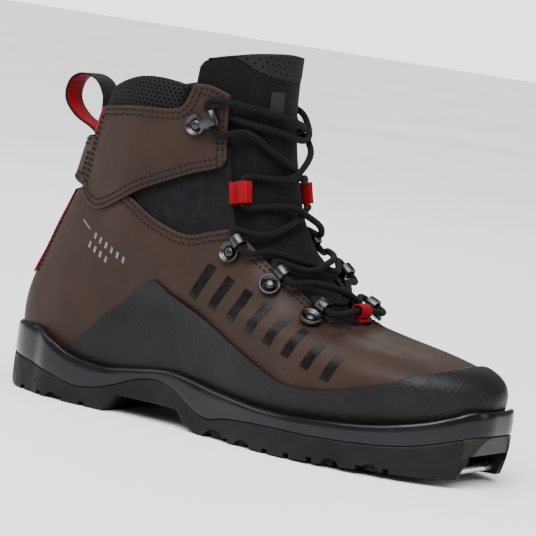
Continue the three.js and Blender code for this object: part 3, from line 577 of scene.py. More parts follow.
def knit_look():
    look = Look("honeycomb_knit", (0.012, 0.012, 0.013), 0.85, **CLOTH)
    pitch = 3.0
    rise = pitch * math.sqrt(3)
    distances = []
    for shift in ((0, 0), (0.5, 0.5)):
        x, y = look.split(look.cell(pitch, rise, shift))
        y = look.math("MULTIPLY", y, math.sqrt(3))
        distances.append(look.distance(x, y))
    # The holes are painted near black: painted shade in the hollows of the knit, beside their bump.
    hole = look.ramp(look.math("MINIMUM", *distances), 0.2, 0.42)
    look.colours(hole, (0.0, (0.0015, 0.0015, 0.0015)), (1.0, (0.011, 0.011, 0.012)))
    return look.bumps((hole, 1.0, 0.0009), (look.math("MULTIPLY", look.wave(0.6), look.wave(0.6, False)), 0.4,
                                            0.00012)).material


def mesh_look():
    look = Look("perforated_mesh", (0.012, 0.012, 0.013), 0.8, **CLOTH)
    distances = []
    for shift in ((0, 0), (0.5, 0.5)):
        x, y = look.split(look.cell(4.4, 6.4, shift))
        y = look.math("MULTIPLY", y, 1.45)
        distances.append(look.distance(x, y))
    # The holes are painted near black: painted shade in the perforations, beside their bump.
    hole = look.ramp(look.math("MINIMUM", *distances), 0.1, 0.17)
    look.colours(hole, (0.0, (0.001, 0.001, 0.001)), (1.0, (0.011, 0.011, 0.0115)))
    return look.bumps((hole, 1.0, 0.0006)).material


def softshell_look():
    look = Look("softshell", (0.011, 0.011, 0.012), 0.8, **CLOTH)
    twill = look.math("MULTIPLY", look.wave(0.8), look.wave(0.9, False))
    look.colours(look.noise(6.0, 3), (0.3, (0.004, 0.004, 0.0045)), (0.7, (0.008, 0.008, 0.009)))
    return look.bumps((look.noise(9.0, 3), 0.5, 0.0008), (twill, 0.5, 0.00015)).material


def webbing_look(name, colour):
    look = Look(name, colour, 0.66, on_cloth=True, Sheen_Weight=0.01, Specular_IOR_Level=0.08)
    ribs = look.wave(1.25, False)
    # Darker in the troughs between the ribs and lighter on their crowns: painted shade and painted highlight
    # following the rib bump.
    look.colours(look.ramp(ribs, -1, 1), (0.0, shade(colour, 0.55)), (1.0, shade(colour, 1.1)))
    return look.bumps((ribs, 0.8, 0.0003), (look.wave(0.8), 0.3, 0.0001)).material


def lace_look():
    look = Look("braided_lace", (0.013, 0.013, 0.014), 0.74, **CLOTH)
    x, y = look.split(look.place)
    turn = look.math("MULTIPLY", x, 8.0)
    climb = look.math("MULTIPLY", y, 2 * math.pi / 2.6)
    braid = look.math("MULTIPLY", look.math("SINE", look.math("ADD", turn, climb)),
                      look.math("SINE", look.math("SUBTRACT", turn, climb)))
    # Dark in the grooves of the braid and lighter on its crowns: painted shade and painted highlight
    # following the braid bump.
    look.colours(look.ramp(braid, -1, 1), (0.0, (0.002, 0.002, 0.002)), (1.0, (0.008, 0.008, 0.0085)))
    return look.bumps((braid, 0.8, 0.0003), (look.noise(0.4, 2), 0.3, 0.0001)).material


def thread_look():
    look = Look("sewing_thread", (0.006, 0.005, 0.0045), 0.6, Specular_IOR_Level=0.15)
    look.colours(look.noise(0.0006, 2), (0.3, (0.003, 0.0026, 0.0023)), (0.7, (0.008, 0.0068, 0.006)))
    return look.bumps((look.noise(0.0003, 2), 0.5, 0.0001)).material


def cloth_look(name, colour, grain=0.7):
    look = Look(name, colour, 0.85, on_cloth=True, Sheen_Weight=0.01, Specular_IOR_Level=0.08)
    weave = look.math("MULTIPLY", look.wave(grain), look.wave(grain, False))
    # Darker where the weave sinks and lighter where it rises: painted shade and painted highlight following
    # the weave bump.
    look.colours(look.ramp(weave, -1, 1), (0.0, shade(colour, 0.6)), (1.0, shade(colour, 1.2)))
    return look.bumps((weave, 0.6, 0.0002), (look.noise(4.0, 3), 0.3, 0.0004)).material


def board_look(name, colour):
    look = Look(name, colour, 0.85)
    look.colours(look.noise(0.003, 4), (0.3, shade(colour, 0.8)), (0.7, shade(colour, 1.15)))
    return look.bumps((look.noise(0.0012, 4), 0.4, 0.0002)).material


def print_look(name, colour):
    look = Look(name, colour, 0.34, Specular_IOR_Level=0.16)
    look.rough(look.ramp(look.noise(0.003, 3), 0.3, 0.7, 0.26, 0.42))
    look.colours(look.noise(0.004, 3), (0.3, shade(colour, 0.8)), (0.7, shade(colour, 1.2)))
    return look.bumps((look.noise(0.0012, 2), 0.3, 0.00008)).material


LOOKS = {}


def look(name, make=None, *facts):
    if name not in LOOKS:
        LOOKS[name] = make(*facts)
    return LOOKS[name]


# ---- Rows of stitches ----
def stitch_form(length, width):
    """One stitch: a bead of thread along X."""
    bpy.ops.object.select_all(action="DESELECT")
    bpy.ops.mesh.primitive_uv_sphere_add(segments=6, ring_count=5, radius=0.5)
    bead = bpy.context.active_object
    bpy.ops.object.mode_set(mode="EDIT")
    bpy.ops.mesh.select_all(action="SELECT")
    bpy.ops.transform.resize(value=(length, width, width * 0.8))
    bpy.ops.object.mode_set(mode="OBJECT")
    points = np.array([v.co[:] for v in bead.data.vertices])
    faces = [tuple(p.vertices) for p in bead.data.polygons]
    bpy.data.objects.remove(bead)
    return points, faces


def resample(path, pitch):
    path = np.asarray(path, float)
    steps = run_along(path)
    count = max(int(steps[-1] / pitch), 1)
    at = (np.arange(count) + 0.5) * steps[-1] / count
    spots = np.stack([np.interp(at, steps, path[:, k]) for k in range(3)], 1)
    ahead = np.stack([np.interp(at + 0.3, steps, path[:, k]) for k in range(3)], 1)
    behind = np.stack([np.interp(at - 0.3, steps, path[:, k]) for k in range(3)], 1)
    tangent = ahead - behind
    return spots, tangent / np.maximum(np.linalg.norm(tangent, axis=1, keepdims=True), 1e-9)


def beside(path, normals, distance):
    """A line beside another on the surface; positive is to its left, seen from outside."""
    return path + np.cross(normals, unit(np.gradient(path, axis=0))) * distance


def stitches(name, ground, paths, pitch=3.0, length=2.3, width=1.05, sink=0.1):
    """Rows of stitches laid on a piece along lines given in millimetres from the heel."""
    tree = BVHTree.FromObject(ground, bpy.context.evaluated_depsgraph_get())
    form, faces = stitch_form(length, width)
    points, quads = [], []
    for path in paths:
        spots, tangents = resample(path, pitch)
        for spot, tangent in zip(spots, tangents):
            place, normal, _, away = tree.find_nearest(Vector(to_row(spot)))
            if place is None or away > 0.006:
                continue
            place, normal = np.array(place) / MM, np.array(normal)
            if np.dot(to_row(spot) / MM - place, normal) < 0 and away > 0.001:
                normal = -normal if np.dot(normal, place) < 0 else normal
            side = np.cross(normal, tangent)
            side /= max(np.linalg.norm(side), 1e-9)
            along = np.cross(side, normal)
            base = len(points) * len(form)
            points.append(place + normal * (width * 0.4 - sink)
                          + form @ np.stack([along, side, normal]))
            quads.extend(tuple(base + k for k in face) for face in faces)
    everything = np.concatenate(points) * MM
    piece = new_piece(name, everything, quads)
    return soften(piece, 60)


def along_edge(line, start, end, offset, distance, side=1, count=160):
    """A line at a distance inside an edge of a layer."""
    angles = np.linspace(start, end, count) * side
    path = skin(line(angles), angles, np.full(count, offset))
    return beside(path, normal_at(line(angles), angles), -distance * side)


def up_edge(angle, low, high, offset, distance, side=1, count=80):
    """A line at a distance from a layer's upright edge."""
    angles = np.full(count, float(angle) * side)
    lines = np.linspace(low, high, count)
    path = skin(lines, angles, np.full(count, offset))
    return beside(path, normal_at(lines, angles), distance * side)


# ---- Sole ----
NOSE_WIDTH, NOSE_CORNER, NOSE_REACH, NOSE_SEARCH = 63.0, 25.0, 66.0, 60.0
RIM_LEVEL = 0.9
RECESS_DEPTH, RECESS_HEIGHT, BAR_SPAN = 27.0, 18.0, 44.0
GUIDE_WIDTH, GUIDE_SPACING, GUIDE_DEPTH = 9.0, 21.0, 5.5
JOINT_POINTS = [[-6, 20], [17, 18.3], [41, 14.8], [62, 10.5], [77, 12], [90, 16], [104, 21.5], [118, 23.5],
                [133, 19], [141, 14.5], [155, 10], [171, 13], [201, 15], [225, 15.2], [256, 16.7],
                 [278, 19.3],
                [293, 23.2], [301, 26], [311, 29], [330, 29]]
RIM_POINTS = [[-6, 36.5], [16, 37.7], [29, 38.3], [43, 32.8], [54, 28.2], [67, 25.6], [83, 24.8], [98, 27],
              [122, 30.3], [137, 29.4], [161, 26], [200, 23.2], [234, 24.9], [261, 27.7], [284, 32.8],
              [297, 37.6], [305, 41.4], [315, 42.4], [330, 42.4]]
GROUND_POINTS = [[-6, 9], [4, 5], [9, 1], [14, 0], [84, 0], [92, 10.5], [133, 10.5], [141, 3], [150, 0],
                 [192, 0], [226, 1.4], [262, 3], [301, 4.6], [307, 18], [311, 28]]


def curve_height(points):
    table = np.array(points, float)
    return lambda x: through(table[:, 0], table[:, 1], x)


def straight_height(points):
    table = np.array(points, float)
    return lambda x: np.interp(x, table[:, 0], table[:, 1])


JOINT_Z = curve_height(JOINT_POINTS)
RIM_Z = curve_height(RIM_POINTS)
GROUND_Z = straight_height(GROUND_POINTS)


def plan_normal(level, angle):
    normal = normal_at(level, angle)
    normal[..., 2] = 0
    return unit(normal)


def cavity_offset(angle):
    return UPPER_SEAT + RAND_FACE * smooth((np.abs(wrap(angle)) - 34) / 8)


def nose_distance(x, y):
    """Signed distance to the rounded nose block, in plan."""
    qx = np.abs(x - (LENGTH - NOSE_REACH / 2)) - (NOSE_REACH / 2 - NOSE_CORNER)
    qy = np.abs(y) - (NOSE_WIDTH / 2 - NOSE_CORNER)
    return np.hypot(np.maximum(qx, 0), np.maximum(qy, 0)) + np.minimum(np.maximum(qx, qy), 0) - NOSE_CORNER


def sole_outline(angle):
    """Outside of the sole in plan: the upper's outline with its rim, joined to the nose."""
    level = np.full_like(angle, RIM_LEVEL)
    base, normal = on_last(level, angle), plan_normal(level, angle)
    ring = cavity_offset(angle) + RIM_WALL

    def out_of_nose(reach):
        spot = base + normal * reach[:, None]
        return nose_distance(spot[:, 0], spot[:, 1]) >= 0

    to_nose = halved(np.zeros_like(angle), np.full_like(angle, NOSE_SEARCH), out_of_nose, 30)[1]
    reach = np.where(out_of_nose(np.zeros_like(angle)), ring, np.maximum(to_nose, ring))
    return base + normal * reach[:, None]


def sole_columns(step, keys=(), blunt=False):
    """Angles all round the sole, at even steps of its outline and at key places along it."""
    dense = np.linspace(0, 180, 4001)
    outline = sole_outline(dense)[:, :2]
    run = run_along(outline)
    wanted = np.linspace(0, run[-1], int(run[-1] / step) + 1)
    crossings = [np.interp(k, outline[:, 0], run) for k in keys if outline[0, 0] < k < LENGTH - 0.2]
    wanted = np.array(sorted(set(np.round(np.concatenate([wanted, crossings]), 4))))
    gaps = np.concatenate([[9], np.diff(wanted)])
    keep = (gaps > step * 0.35) | np.isin(wanted, np.round(crossings, 4))
    wanted = wanted[keep]
    lateral = np.interp(wanted, run, dense)
    if blunt:
        x = np.interp(wanted, run, outline[:, 0])
        flat = np.nonzero(x > LENGTH - 0.04)[0]
        lateral = lateral[: flat[0] + 1]
    there = sole_outline(lateral)[:, 0]
    medial_line = sole_outline(-dense)[:, 0]
    rising = np.maximum.accumulate(medial_line + np.arange(len(dense)) * 1e-7)
    medial = np.where(lateral < 150, np.interp(there, rising, dense), lateral)
    medial[0] = 0
    back_again = -medial[1:][::-1] if blunt else -medial[1:-1][::-1]
    return np.concatenate([lateral, back_again])


def shell(name, chain, across):
    """A solid from columns round the boot; each column runs from one cap to the other."""
    count, height = chain.shape[:2]
    points = [chain.reshape(-1, 3)]
    faces = []
    blunt = count // 2 if count % 2 else None
    for i in range(count):
        j = (i + 1) % count
        for k in range(height - 1):
            if i != blunt or k not in (0, height - 2):
                faces.append((i * height + k, j * height + k, j * height + k + 1, i * height + k + 1))
    extra = count * height

    def mirror(i):
        return (count - i) % count

    rows = [i for i in range(1, count // 2 + 1) if mirror(i) > i]
    for k, upwards, parts in ((0, False, across[0]), (height - 1, True, across[1])):
        lines = []
        for i in rows:
            a, b = chain[i, k], chain[mirror(i), k]
            middle = [a + (b - a) * m / parts for m in range(1, parts)]
            ids = [i * height + k] + list(range(extra, extra + parts - 1)) + [mirror(i) * height + k]
            if middle:
                points.append(np.array(middle))
            extra += parts - 1
            lines.append(ids)
        for first, second in zip(lines[:-1], lines[1:]):
            for m in range(parts):
                quad = (first[m], second[m], second[m + 1], first[m + 1])
                faces.append(quad if upwards else quad[::-1])
        if blunt:
            near, far = blunt * height + k, (blunt + 1) * height + k
            tail = (near - 1, far - 1, *lines[-1][::-1]) if upwards else (*lines[-1], far + 1, near + 1)
            faces.append(tail)
        for tip, line in ((0, lines[0]), (count // 2 if count % 2 == 0 else None, lines[-1])):
            if tip is None or tip in (rows[0], rows[-1]):
                continue
            fan = [tip * height + k] + line if tip == 0 else [tip * height + k] + line[::-1]
            faces.append(tuple(fan) if upwards else tuple(fan[::-1]))
    return new_piece(name, to_row(np.concatenate(points)), faces)


def level_at_height(angle, z):
    _, low, high = halved(np.zeros_like(angle), np.full_like(angle, 4.0),
                          lambda level: on_last(level, angle)[:, 2] > z, 26)
    return (low + high) / 2


def cavity_point(angle, z):
    level = level_at_height(angle, z)
    p = on_last(level, angle) + plan_normal(level, angle) * cavity_offset(angle)[:, None]
    p[:, 2] = z
    return p


def inset_from(angle, outline):
    """A way to points of the sole's outline, set inwards and put at a height."""
    inwards = on_last(np.full_like(angle, RIM_LEVEL), angle) - outline
    inwards[:, 2] = 0
    inwards = unit(inwards)

    def inset_by(inset, z):
        return np.stack([*(outline + inwards * inset)[:, :2].T, z], 1)

    return inset_by


def build_frame(step):
    angle = sole_columns(step)
    outline = sole_outline(angle)
    inset_by = inset_from(angle, outline)
    rim, joint = RIM_Z(outline[:, 0]), JOINT_Z(outline[:, 0]) + 0.2
    feather_z = on_last(np.zeros_like(angle), angle)[:, 2]
    inner_rim = cavity_point(angle, RIM_Z(cavity_point(angle, rim)[:, 0]) - 0.5)
    land = inner_rim + (outline - inner_rim) * np.array([1, 1, 0]) * 0.16
    land[:, 2] = inner_rim[:, 2] + 0.42
    floor = cavity_point(angle, feather_z + 0.0)
    floor_top = floor.copy()
    floor_top[:, 2] = feather_z - 0.4
    floor_low = floor.copy()
    floor_low[:, 2] = feather_z - 2.0
    middle_wall = cavity_point(angle, (inner_rim[:, 2] + feather_z) / 2)
    groove = joint + 0.28 * (rim - joint)
    swell = joint + 0.6 * (rim - joint)
    face = ((2.6, joint), (0.75, joint), (0.2, joint + 0.2), (0.0, joint + 0.75),
            (-0.15, groove), (-0.15, swell), (0.05, rim - 1.6), (0.3, rim - 0.8),
            (0.85, rim - 0.22), (1.5, rim))
    return np.stack([floor_low, *(inset_by(inset, z) for inset, z in face),
                     land, inner_rim, middle_wall, floor, floor_top], 1)


def build_sole(step):
    keys = [4, 9, 14, 84, 92, 133, 141, 150, 192, 226, 262, 301, 304, 307, 309]
    angle = sole_columns(step, keys, blunt=True)
    outline = sole_outline(angle)
    inset_by = inset_from(angle, outline)
    x = outline[:, 0]
    joint, ground = JOINT_Z(x) - 0.2, GROUND_Z(x)
    height = np.maximum(joint - ground, 0.4)
    joint = ground + height
    feather_z = on_last(np.zeros_like(angle), angle)[:, 2]
    top = np.minimum(joint - 0.3, feather_z - 2.5)
    bite = 0.45 * (np.arange(len(angle)) % 2) * (np.abs(x - 150) > 18) * (x < 296)
    face = ((1.1, ground), (0.35, ground + bite + 0.1), (0.0, ground + np.minimum(1.0, height * 0.2)),
            (-0.1, ground + height * 0.35), (-0.1, ground + height * 0.75),
            (0.0, joint - np.minimum(0.7, height * 0.2)), (0.5, joint), (2.6, joint), (3.2, top))
    return np.stack([inset_by(inset, z) for inset, z in face], 1)


def block(x0, x1, y0, y1, z0, z1):
    return np.array([[x, y, z] for x in (x0, x1) for y in (y0, y1) for z in (z0, z1)], float)


BLOCK_FACES = [(0, 1, 3, 2), (4, 6, 7, 5), (0, 4, 5, 1), (2, 3, 7, 6), (0, 2, 6, 4), (1, 5, 7, 3)]


def cutters(name, blocks):
    points = np.concatenate(blocks)
    faces = [tuple(8 * i + k for k in face) for i in range(len(blocks)) for face in BLOCK_FACES]
    return outwards(new_piece(name, to_row(points), faces))


def carve(piece, cutter):
    modify(piece, "BOOLEAN", operation="DIFFERENCE", solver="EXACT", object=cutter)
    bpy.data.objects.remove(cutter)
    return piece


def make_sole(settings):
    gloss = shell("gloss_frame", build_frame(settings.sole_step / MM), (1, 1))
    outwards(gloss)
    soften(gloss, 38)
    finish_piece(gloss, look("gloss", gloss_look), "sole_frame", "sole_frame", body=LOWER)

    rubber = shell("rubber_sole", build_sole(settings.sole_step / MM), (14, 1))
    outwards(rubber)
    reach = LENGTH - RECESS_DEPTH
    blocks = [block(reach, LENGTH + 20, -BAR_SPAN / 2, BAR_SPAN / 2, -10, RECESS_HEIGHT)]
    for side in (-1, 1):
        middle = side * GUIDE_SPACING / 2
        left, right = middle - GUIDE_WIDTH / 2, middle + GUIDE_WIDTH / 2
        blocks.append(block(-20, reach - 8, left, right, -1, GUIDE_DEPTH))
    treads = [22, 38, 54, 70, 158, 172, 186, 200, 214, 228, 242, 256, 270]
    for x in treads:
        lift = max(x - 192, 0) * 0.042
        for side in (-1, 1):
            near = side * (GUIDE_SPACING / 2 + GUIDE_WIDTH / 2 + 5)
            far = side * 80
            blocks.append(block(x - 1.6, x + 1.6, min(near, far), max(near, far), -1, lift + 2.6))
    carve(rubber, cutters("cutters", blocks))
    for x, radius in ((163, 8.5), (184, 6.5), (240, 6.0), (262, 6.0), (49, 6.0)):
        lift = float(GROUND_Z(x))
        for side in (-1, 1):
            edge_y = sole_edge_y(x, side)
            bpy.ops.object.select_all(action="DESELECT")
            bpy.ops.mesh.primitive_cylinder_add(vertices=40, radius=radius * MM, depth=7 * MM,
                                                rotation=(math.pi / 2, 0, 0),
                                                location=to_row([x, edge_y, lift - radius * 0.35]))
            round_cut = bpy.context.active_object
            carve(rubber, round_cut)
    modify(rubber, "BEVEL", width=0.35 * MM, segments=1, limit_method="ANGLE", angle_limit=math.radians(55))
    weld(rubber, 2e-5)
    soften(rubber, 32)
    finish_piece(rubber, look("rubber", rubber_look), "sole_rubber", "outsole", body=LOWER)
    # Faces at the front of the nose, above the recess, take the lighter rubber: a painted highlight of the
    # lit front face.
    rubber.data.materials.append(look("painted_toe_highlight", toe_face_highlight_look))
    front, lit_face_low = to_row([302.5, 0, 0])[0], RECESS_HEIGHT * MM
    for face in rubber.data.polygons:
        centre = face.center
        if centre.x > front and centre.z > lit_face_low - 0.0004 and face.normal.z > -0.9:
            face.material_index = 1
            face.use_smooth = False

    bar_radius = (BAR_HIGH.z - BAR_LOW.z) / 2
    bpy.ops.object.select_all(action="DESELECT")
    bpy.ops.mesh.primitive_cylinder_add(vertices=48, radius=bar_radius, depth=BAR_HIGH.y - BAR_LOW.y,
                                        rotation=(math.pi / 2, 0, 0), location=(BAR_LOW + BAR_HIGH) / 2)
    bar = bpy.context.active_object
    bar.name = "toe_bar_steel"
    settle(bar)
    modify(bar, "BEVEL", width=0.4 * MM, segments=2, limit_method="ANGLE", angle_limit=math.radians(50))
    soften(bar, 40)
    finish_piece(bar, look("steel", steel_look), "steel", "toe_bar", body=LOWER)


def sole_edge_y(x, side):
    angles = np.linspace(2, 178, 900) * side
    outline = sole_outline(angles)
    return float(outline[np.argmin(np.abs(outline[:, 0] - x)), 1])


def settle(piece):
    """Puts a piece's place into its mesh."""
    only(piece)
    bpy.ops.object.transform_apply(location=True, rotation=True, scale=True)
    return piece


# ---- Upper ----
def bend_between(low_z, high_z):
    return (HINGE[0], 0, low_z * MM), (HINGE[0] + 0.02, 0, high_z * MM)


def make_leather(settings):
    brown = look("leather", leather_look, tuple(settings.leather_colour))
    lower = wall("leather_lower", (0, 360), feather(0.3), QUARTER_TOP, 0, -LEATHER, 300, 60, radius=0.8)
    finish_piece(lower, brown, "brown_leather", "vamp_and_quarters", body=LOWER)
    for name, side in (("lateral", 1), ("medial", -1)):
        span = (CUFF_REAR, CUFF_FRONT) if side > 0 else (-CUFF_FRONT, -CUFF_REAR)
        cuff = wall(f"leather_cuff_{name}", span, CUFF_BOTTOM, CUFF_TOP,
                    CUFF_STAND_OFF + LEATHER, CUFF_STAND_OFF, 90, 36, radius=0.8)
        finish_piece(cuff, brown, "brown_leather", f"cuff_{name}", body=CUFF)

    def bulge(angle, level, v):
        across = np.clip(np.cos(np.radians(angle * 90 / TAB_SPREAD)), 0, 1) ** 1.5
        along = 0.85 + 0.15 * np.sin(np.pi * np.clip(v, 0, 1))
        return CUFF_STAND_OFF + LEATHER + TAB_BULGE * across * along

    tab = wall("leather_tab", (-TAB_SPREAD, TAB_SPREAD), TAB_LOW, TAB_HIGH, bulge,
               lambda angle, level, v: bulge(angle, level, v) - LEATHER, 60, 20, radius=0.8)
    finish_piece(tab, brown, "brown_leather", "backstay_tab", body=CUFF)
    return lower


def make_rand(settings):
    rand = wall("rubber_rand", (RAND_START, 360 - RAND_START), feather(1.3), RAND_TOP, RAND_FACE, RAND_GAP,
                280, 40, radius=0.6)
    finish_piece(rand, look("rand", rand_look), "rand_rubber", "rand", body=LOWER)


def make_gussets(settings):
    for name, side in (("lateral", 1), ("medial", -1)):
        span = (54, 134) if side > 0 else (-134, -54)
        gusset = wall(f"softshell_gusset_{name}", span, GUSSET_LOW, GUSSET_HIGH, UNDER, UNDER - GUSSET,
                      80, 30, radius=0.4)
        finish_piece(gusset, look("softshell", softshell_look), "black_cloth", f"gusset_{name}",
                     bend=bend_between(106, 150))


def tongue_front(angle, level, v):
    out = smooth((np.abs(wrap(angle)) - 140) / 14) * smooth((level - 4.5) / 1.2)
    crown = 0.5 * np.cos(np.radians(np.clip((180 - np.abs(wrap(angle))) * 2.2, 0, 90)))
    return TONGUE_FACE + (-TONGUE_FACE - TONGUE_SET_BACK) * out + crown * out


def tongue_back(angle, level, v):
    return np.full_like(level, TONGUE_FACE - TONGUE_PAD)


FOLD_SIDE = 124.0
FOLD = levels([[106, 10.9], [128, 10.85], [140, 10.55], [152, 10.25], [166, 10.08], [180, 10.02]])


def make_tongue(settings):
    tongue = wall("padded_tongue", (TONGUE_EDGE, 360 - TONGUE_EDGE), TONGUE_LOW, TONGUE_TOP, tongue_front,
                  tongue_back, 150, 90, radius=2.2)
    finish_piece(tongue, look("ripstop", ripstop_look), "black_cloth", "tongue", bend=bend_between(112, 172))

    def over(angle, level, v):
        return tongue_front(angle, level, v) + 0.5

    flap = wall("tongue_fold", (FOLD_SIDE, 360 - FOLD_SIDE), FOLD,
                lambda angle: TONGUE_TOP(angle) - 0.03, over,
                lambda angle, level, v: over(angle, level, v) - 1.0, 120, 16, radius=0.5)
    finish_piece(flap, look("mesh", mesh_look), "tongue_mesh", bend=bend_between(112, 172))
    lining = wall("tongue_mesh_lining", (TONGUE_EDGE + 3, 357 - TONGUE_EDGE), levels([[0, 8.9]]),
                  levels([[0, 10.9]]), TONGUE_FACE - TONGUE_PAD + 0.3,
                  TONGUE_FACE - TONGUE_PAD - 1.1, 100, 30,
                  radius=0.6)
    finish_piece(lining, look("mesh", mesh_look), "tongue_mesh", "tongue_lining", bend=bend_between(112, 172))
    label = wall("woven_label", (161, 173), levels([[0, 9.12]]), levels([[0, 9.74]]),
                 lambda a, l, v: tongue_front(a, l, v) + 1.1, lambda a, l, v: tongue_front(a, l, v) + 0.2,
                 16, 12, radius=0.35)
    finish_piece(label, look("label", cloth_look, "woven_label", (0.02, 0.02, 0.022), 0.9),
                 "label", "tongue_label",
                 bend=bend_between(112, 172))
    return tongue


def collar_roll(v):
    return np.sqrt(np.clip(1 - (np.clip(v - 0.78, 0, 1) / 0.22) ** 2, 0, 1))


def make_collar(settings):
    middle = -1 - COLLAR_PAD / 2

    def outer(angle, level, v):
        face = LINER_FACE + (-0.4 - LINER_FACE) * smooth(v / 0.45)
        return middle + (face - middle) * collar_roll(v)

    def inner(angle, level, v):
        face = LINER_FACE - LINING + (-1 - COLLAR_PAD - LINER_FACE + LINING) * smooth(v / 0.45)
        return middle + (face - middle) * collar_roll(v)

    collar = wall("padded_collar", (-COLLAR_FRONT, COLLAR_FRONT), levels([[0, 8.4]]), COLLAR_TOP,
                  outer, inner, 150, 44, radius=0.02, end_radius=4)
    finish_piece(collar, look("knit", knit_look), "collar_knit", "collar_pad", body=CUFF)


FOOTBED_LEVEL, FOOTBED_GAP, FOOTBED_LIFT = 0.3, 0.9, 2.8


def make_liner(settings):
    liner = wall("textile_liner", (0, 360), feather(2.8), LINER_TOP, LINER_FACE, LINER_FACE - LINING, 160, 40,
                 radius=0.8)
    finish_piece(liner, look("lining", cloth_look, "liner_cloth", (0.016, 0.016, 0.018), 0.9), "black_cloth",
                 "liner", bend=bend_between(95, 160))
    seam = LINER_FACE - LINING
    tape = wall("collar_seam_tape", (1 - COLLAR_FRONT, COLLAR_FRONT - 1),
                levels([[0, 8.2]]), levels([[0, 8.62]]), seam + 0.4, seam - 0.6, 120, 8, radius=0.3)
    finish_piece(tape, look("lining"), "black_cloth", bend=bend_between(95, 160))
    angle = np.arange(0, 360, 2.5)
    level = np.full_like(angle, FOOTBED_LEVEL)
    inner = plan_normal(level, angle)
    base = on_last(level, angle) - inner * (-LINER_FACE + LINING + FOOTBED_GAP)
    rise = on_last(np.zeros_like(angle), angle)[:, 2] + FOOTBED_LIFT
    rings = []
    for shrink, lift in ((0.8, 0), (0.2, 0.3), (0, 1), (0, 3), (0.4, 3.7), (1.2, 4), (3.5, 4.0), (7, 3.7)):
        ring = base - inner * shrink
        ring[:, 2] = rise + lift
        rings.append(ring)
    footbed = shell("foam_footbed", np.stack(rings, 1), (1, 10))
    outwards(footbed)
    soften(footbed, 45)
    felt = look("felt", board_look, "footbed_felt", (0.03, 0.032, 0.036))
    finish_piece(footbed, felt, "footbed", "footbed", body=LOWER)


STRIPE_SPREAD, STRIPE_LIFT, WING_SPREAD = 17.5, 0.3, 35.0


def make_webbing(settings):
    red = look("red", webbing_look, "red_webbing", tuple(settings.webbing_colour))
    stripe = wall("red_back_stripe", (-STRIPE_SPREAD, STRIPE_SPREAD), levels([[0, 3.1]]), levels([[0, 6.3]]),
                  STRIPE_LIFT + WEBBING, STRIPE_LIFT, 40, 50, radius=0.3)
    finish_piece(stripe, red, "red_webbing", "back_stripe", body=LOWER)

    def wing(angle, level, v):
        return 0.7 + 1.3 * smooth((np.abs(wrap(angle)) - 15) / 8)

    upper = wall("red_upper_stripe", (-WING_SPREAD, WING_SPREAD), levels([[0, 8.5], [15, 8.5], [20, 8.3]]),
                 levels([[0, 9.0]]), wing, -0.1, 60, 12, radius=0.3)
    finish_piece(upper, red, "red_webbing", "back_stripe_upper", body=CUFF)
    make_pull_loop(settings, red)


def spline(points, count):
    """Even steps along a smooth line through points."""
    points = np.array(points, float)
    line = between_rows(points, np.linspace(0, len(points) - 1, 60 * len(points)))
    run = run_along(line)
    at = np.linspace(0, run[-1], count)
    return np.stack([np.interp(at, run, line[:, k]) for k in range(line.shape[1])], 1), run[-1]


def left_of(line):
    """Normals of a flat line, to its left."""
    tangent = unit(np.gradient(line, axis=0))
    return np.stack([-tangent[:, 1], tangent[:, 0]], 1)


def band(centre, width, low, high):
    """A strap whose middle line runs in the XZ plane; low and high are its faces beside the line."""
    normal = left_of(centre)
    half, middle = width / 2, (low + high) / 2
    one_side = [(half - 0.3, high), (half, middle + 0.15), (half, middle - 0.15), (half - 0.3, low)]
    section = [(-half + 0.3, high)] + one_side + [(-y, out) for y, out in reversed(one_side[1:])]
    run = run_along(centre)
    points, uvs = [], []
    for k in range(len(centre)):
        for y, out in section:
            x, z = centre[k] + normal[k] * out
            points.append((x, y, z))
            uvs.append((y, run[k]))
    loop = len(section)
    faces = [(i * loop + k, (i + 1) * loop + k, (i + 1) * loop + (k + 1) % loop, i * loop + (k + 1) % loop)
             for i in range(len(centre) - 1) for k in range(loop)]
    faces.append(tuple(range(loop)))
    faces.append(tuple((len(centre) - 1) * loop + k for k in reversed(range(loop))))
    return np.array(points), faces, uvs


def make_pull_loop(settings, red):
    route = [[33.4, 138], [34.3, 148.4], [30, 152.4], [19, 157.4], [11.7, 164], [9.8, 170.5], [12, 177.5],
             [17.5, 181.2], [24, 181.2], [30.5, 178], [34.9, 171], [35.6, 163], [35.8, 153], [35.6, 146],
             [35.3, 138]]
    centre, _ = spline(route, 150)
    faces_at = ((0.02, 0.75), (-0.6, 0.0))
    black = look("black_webbing", webbing_look, "black_webbing", (0.012, 0.012, 0.013))
    for name, (low, high), material in (("pull_loop_outside", faces_at[0], black),
                                        ("pull_loop_inside", faces_at[1], red)):
        width = 17 if name.endswith("outside") else 13.5
        points, faces, uvs = band(centre, width, low, high)
        piece = outwards(new_piece(name, to_row(points), faces, uvs))
        soften(piece, 40)
        nodes = ["pull_loop"] if name.endswith("outside") else []
        finish_piece(piece, material, "red_webbing", *nodes, body=CUFF)


# ---- Lace hardware ----
LOOP_SPOTS = (((204.3, 72.4), (206.5, 76.5)), ((178.6, 87.2), (181.8, 91.6)),
              ((151.6, 100.8), (156.6, 106.2)))
HOOK_SPOT = ((120, 166), (133, 172.5))
WEB_SPOT = ((148, 133), (158, 134.5))
LOOP_LIFTS = (2.1, 1.3, 1.3)
CUP_RADIUS, RIVET_RADIUS, CUP_HOLE = 6.2, 2.9, 3.3
LOOP_WIDTH, HOOK_WIDTH, SIDE_WEB_WIDTH, TOE_WEB_WIDTH = 6.0, 8.5, 12.0, 10.0
EYE_REACH, HOOK_REACH = 8.6, 11.0
STRAIGHT_OUT, WEB_STRAIGHT, TOE_STRAIGHT = 5.7, 2.28, 3.42
WEB_LIFT = 1.7


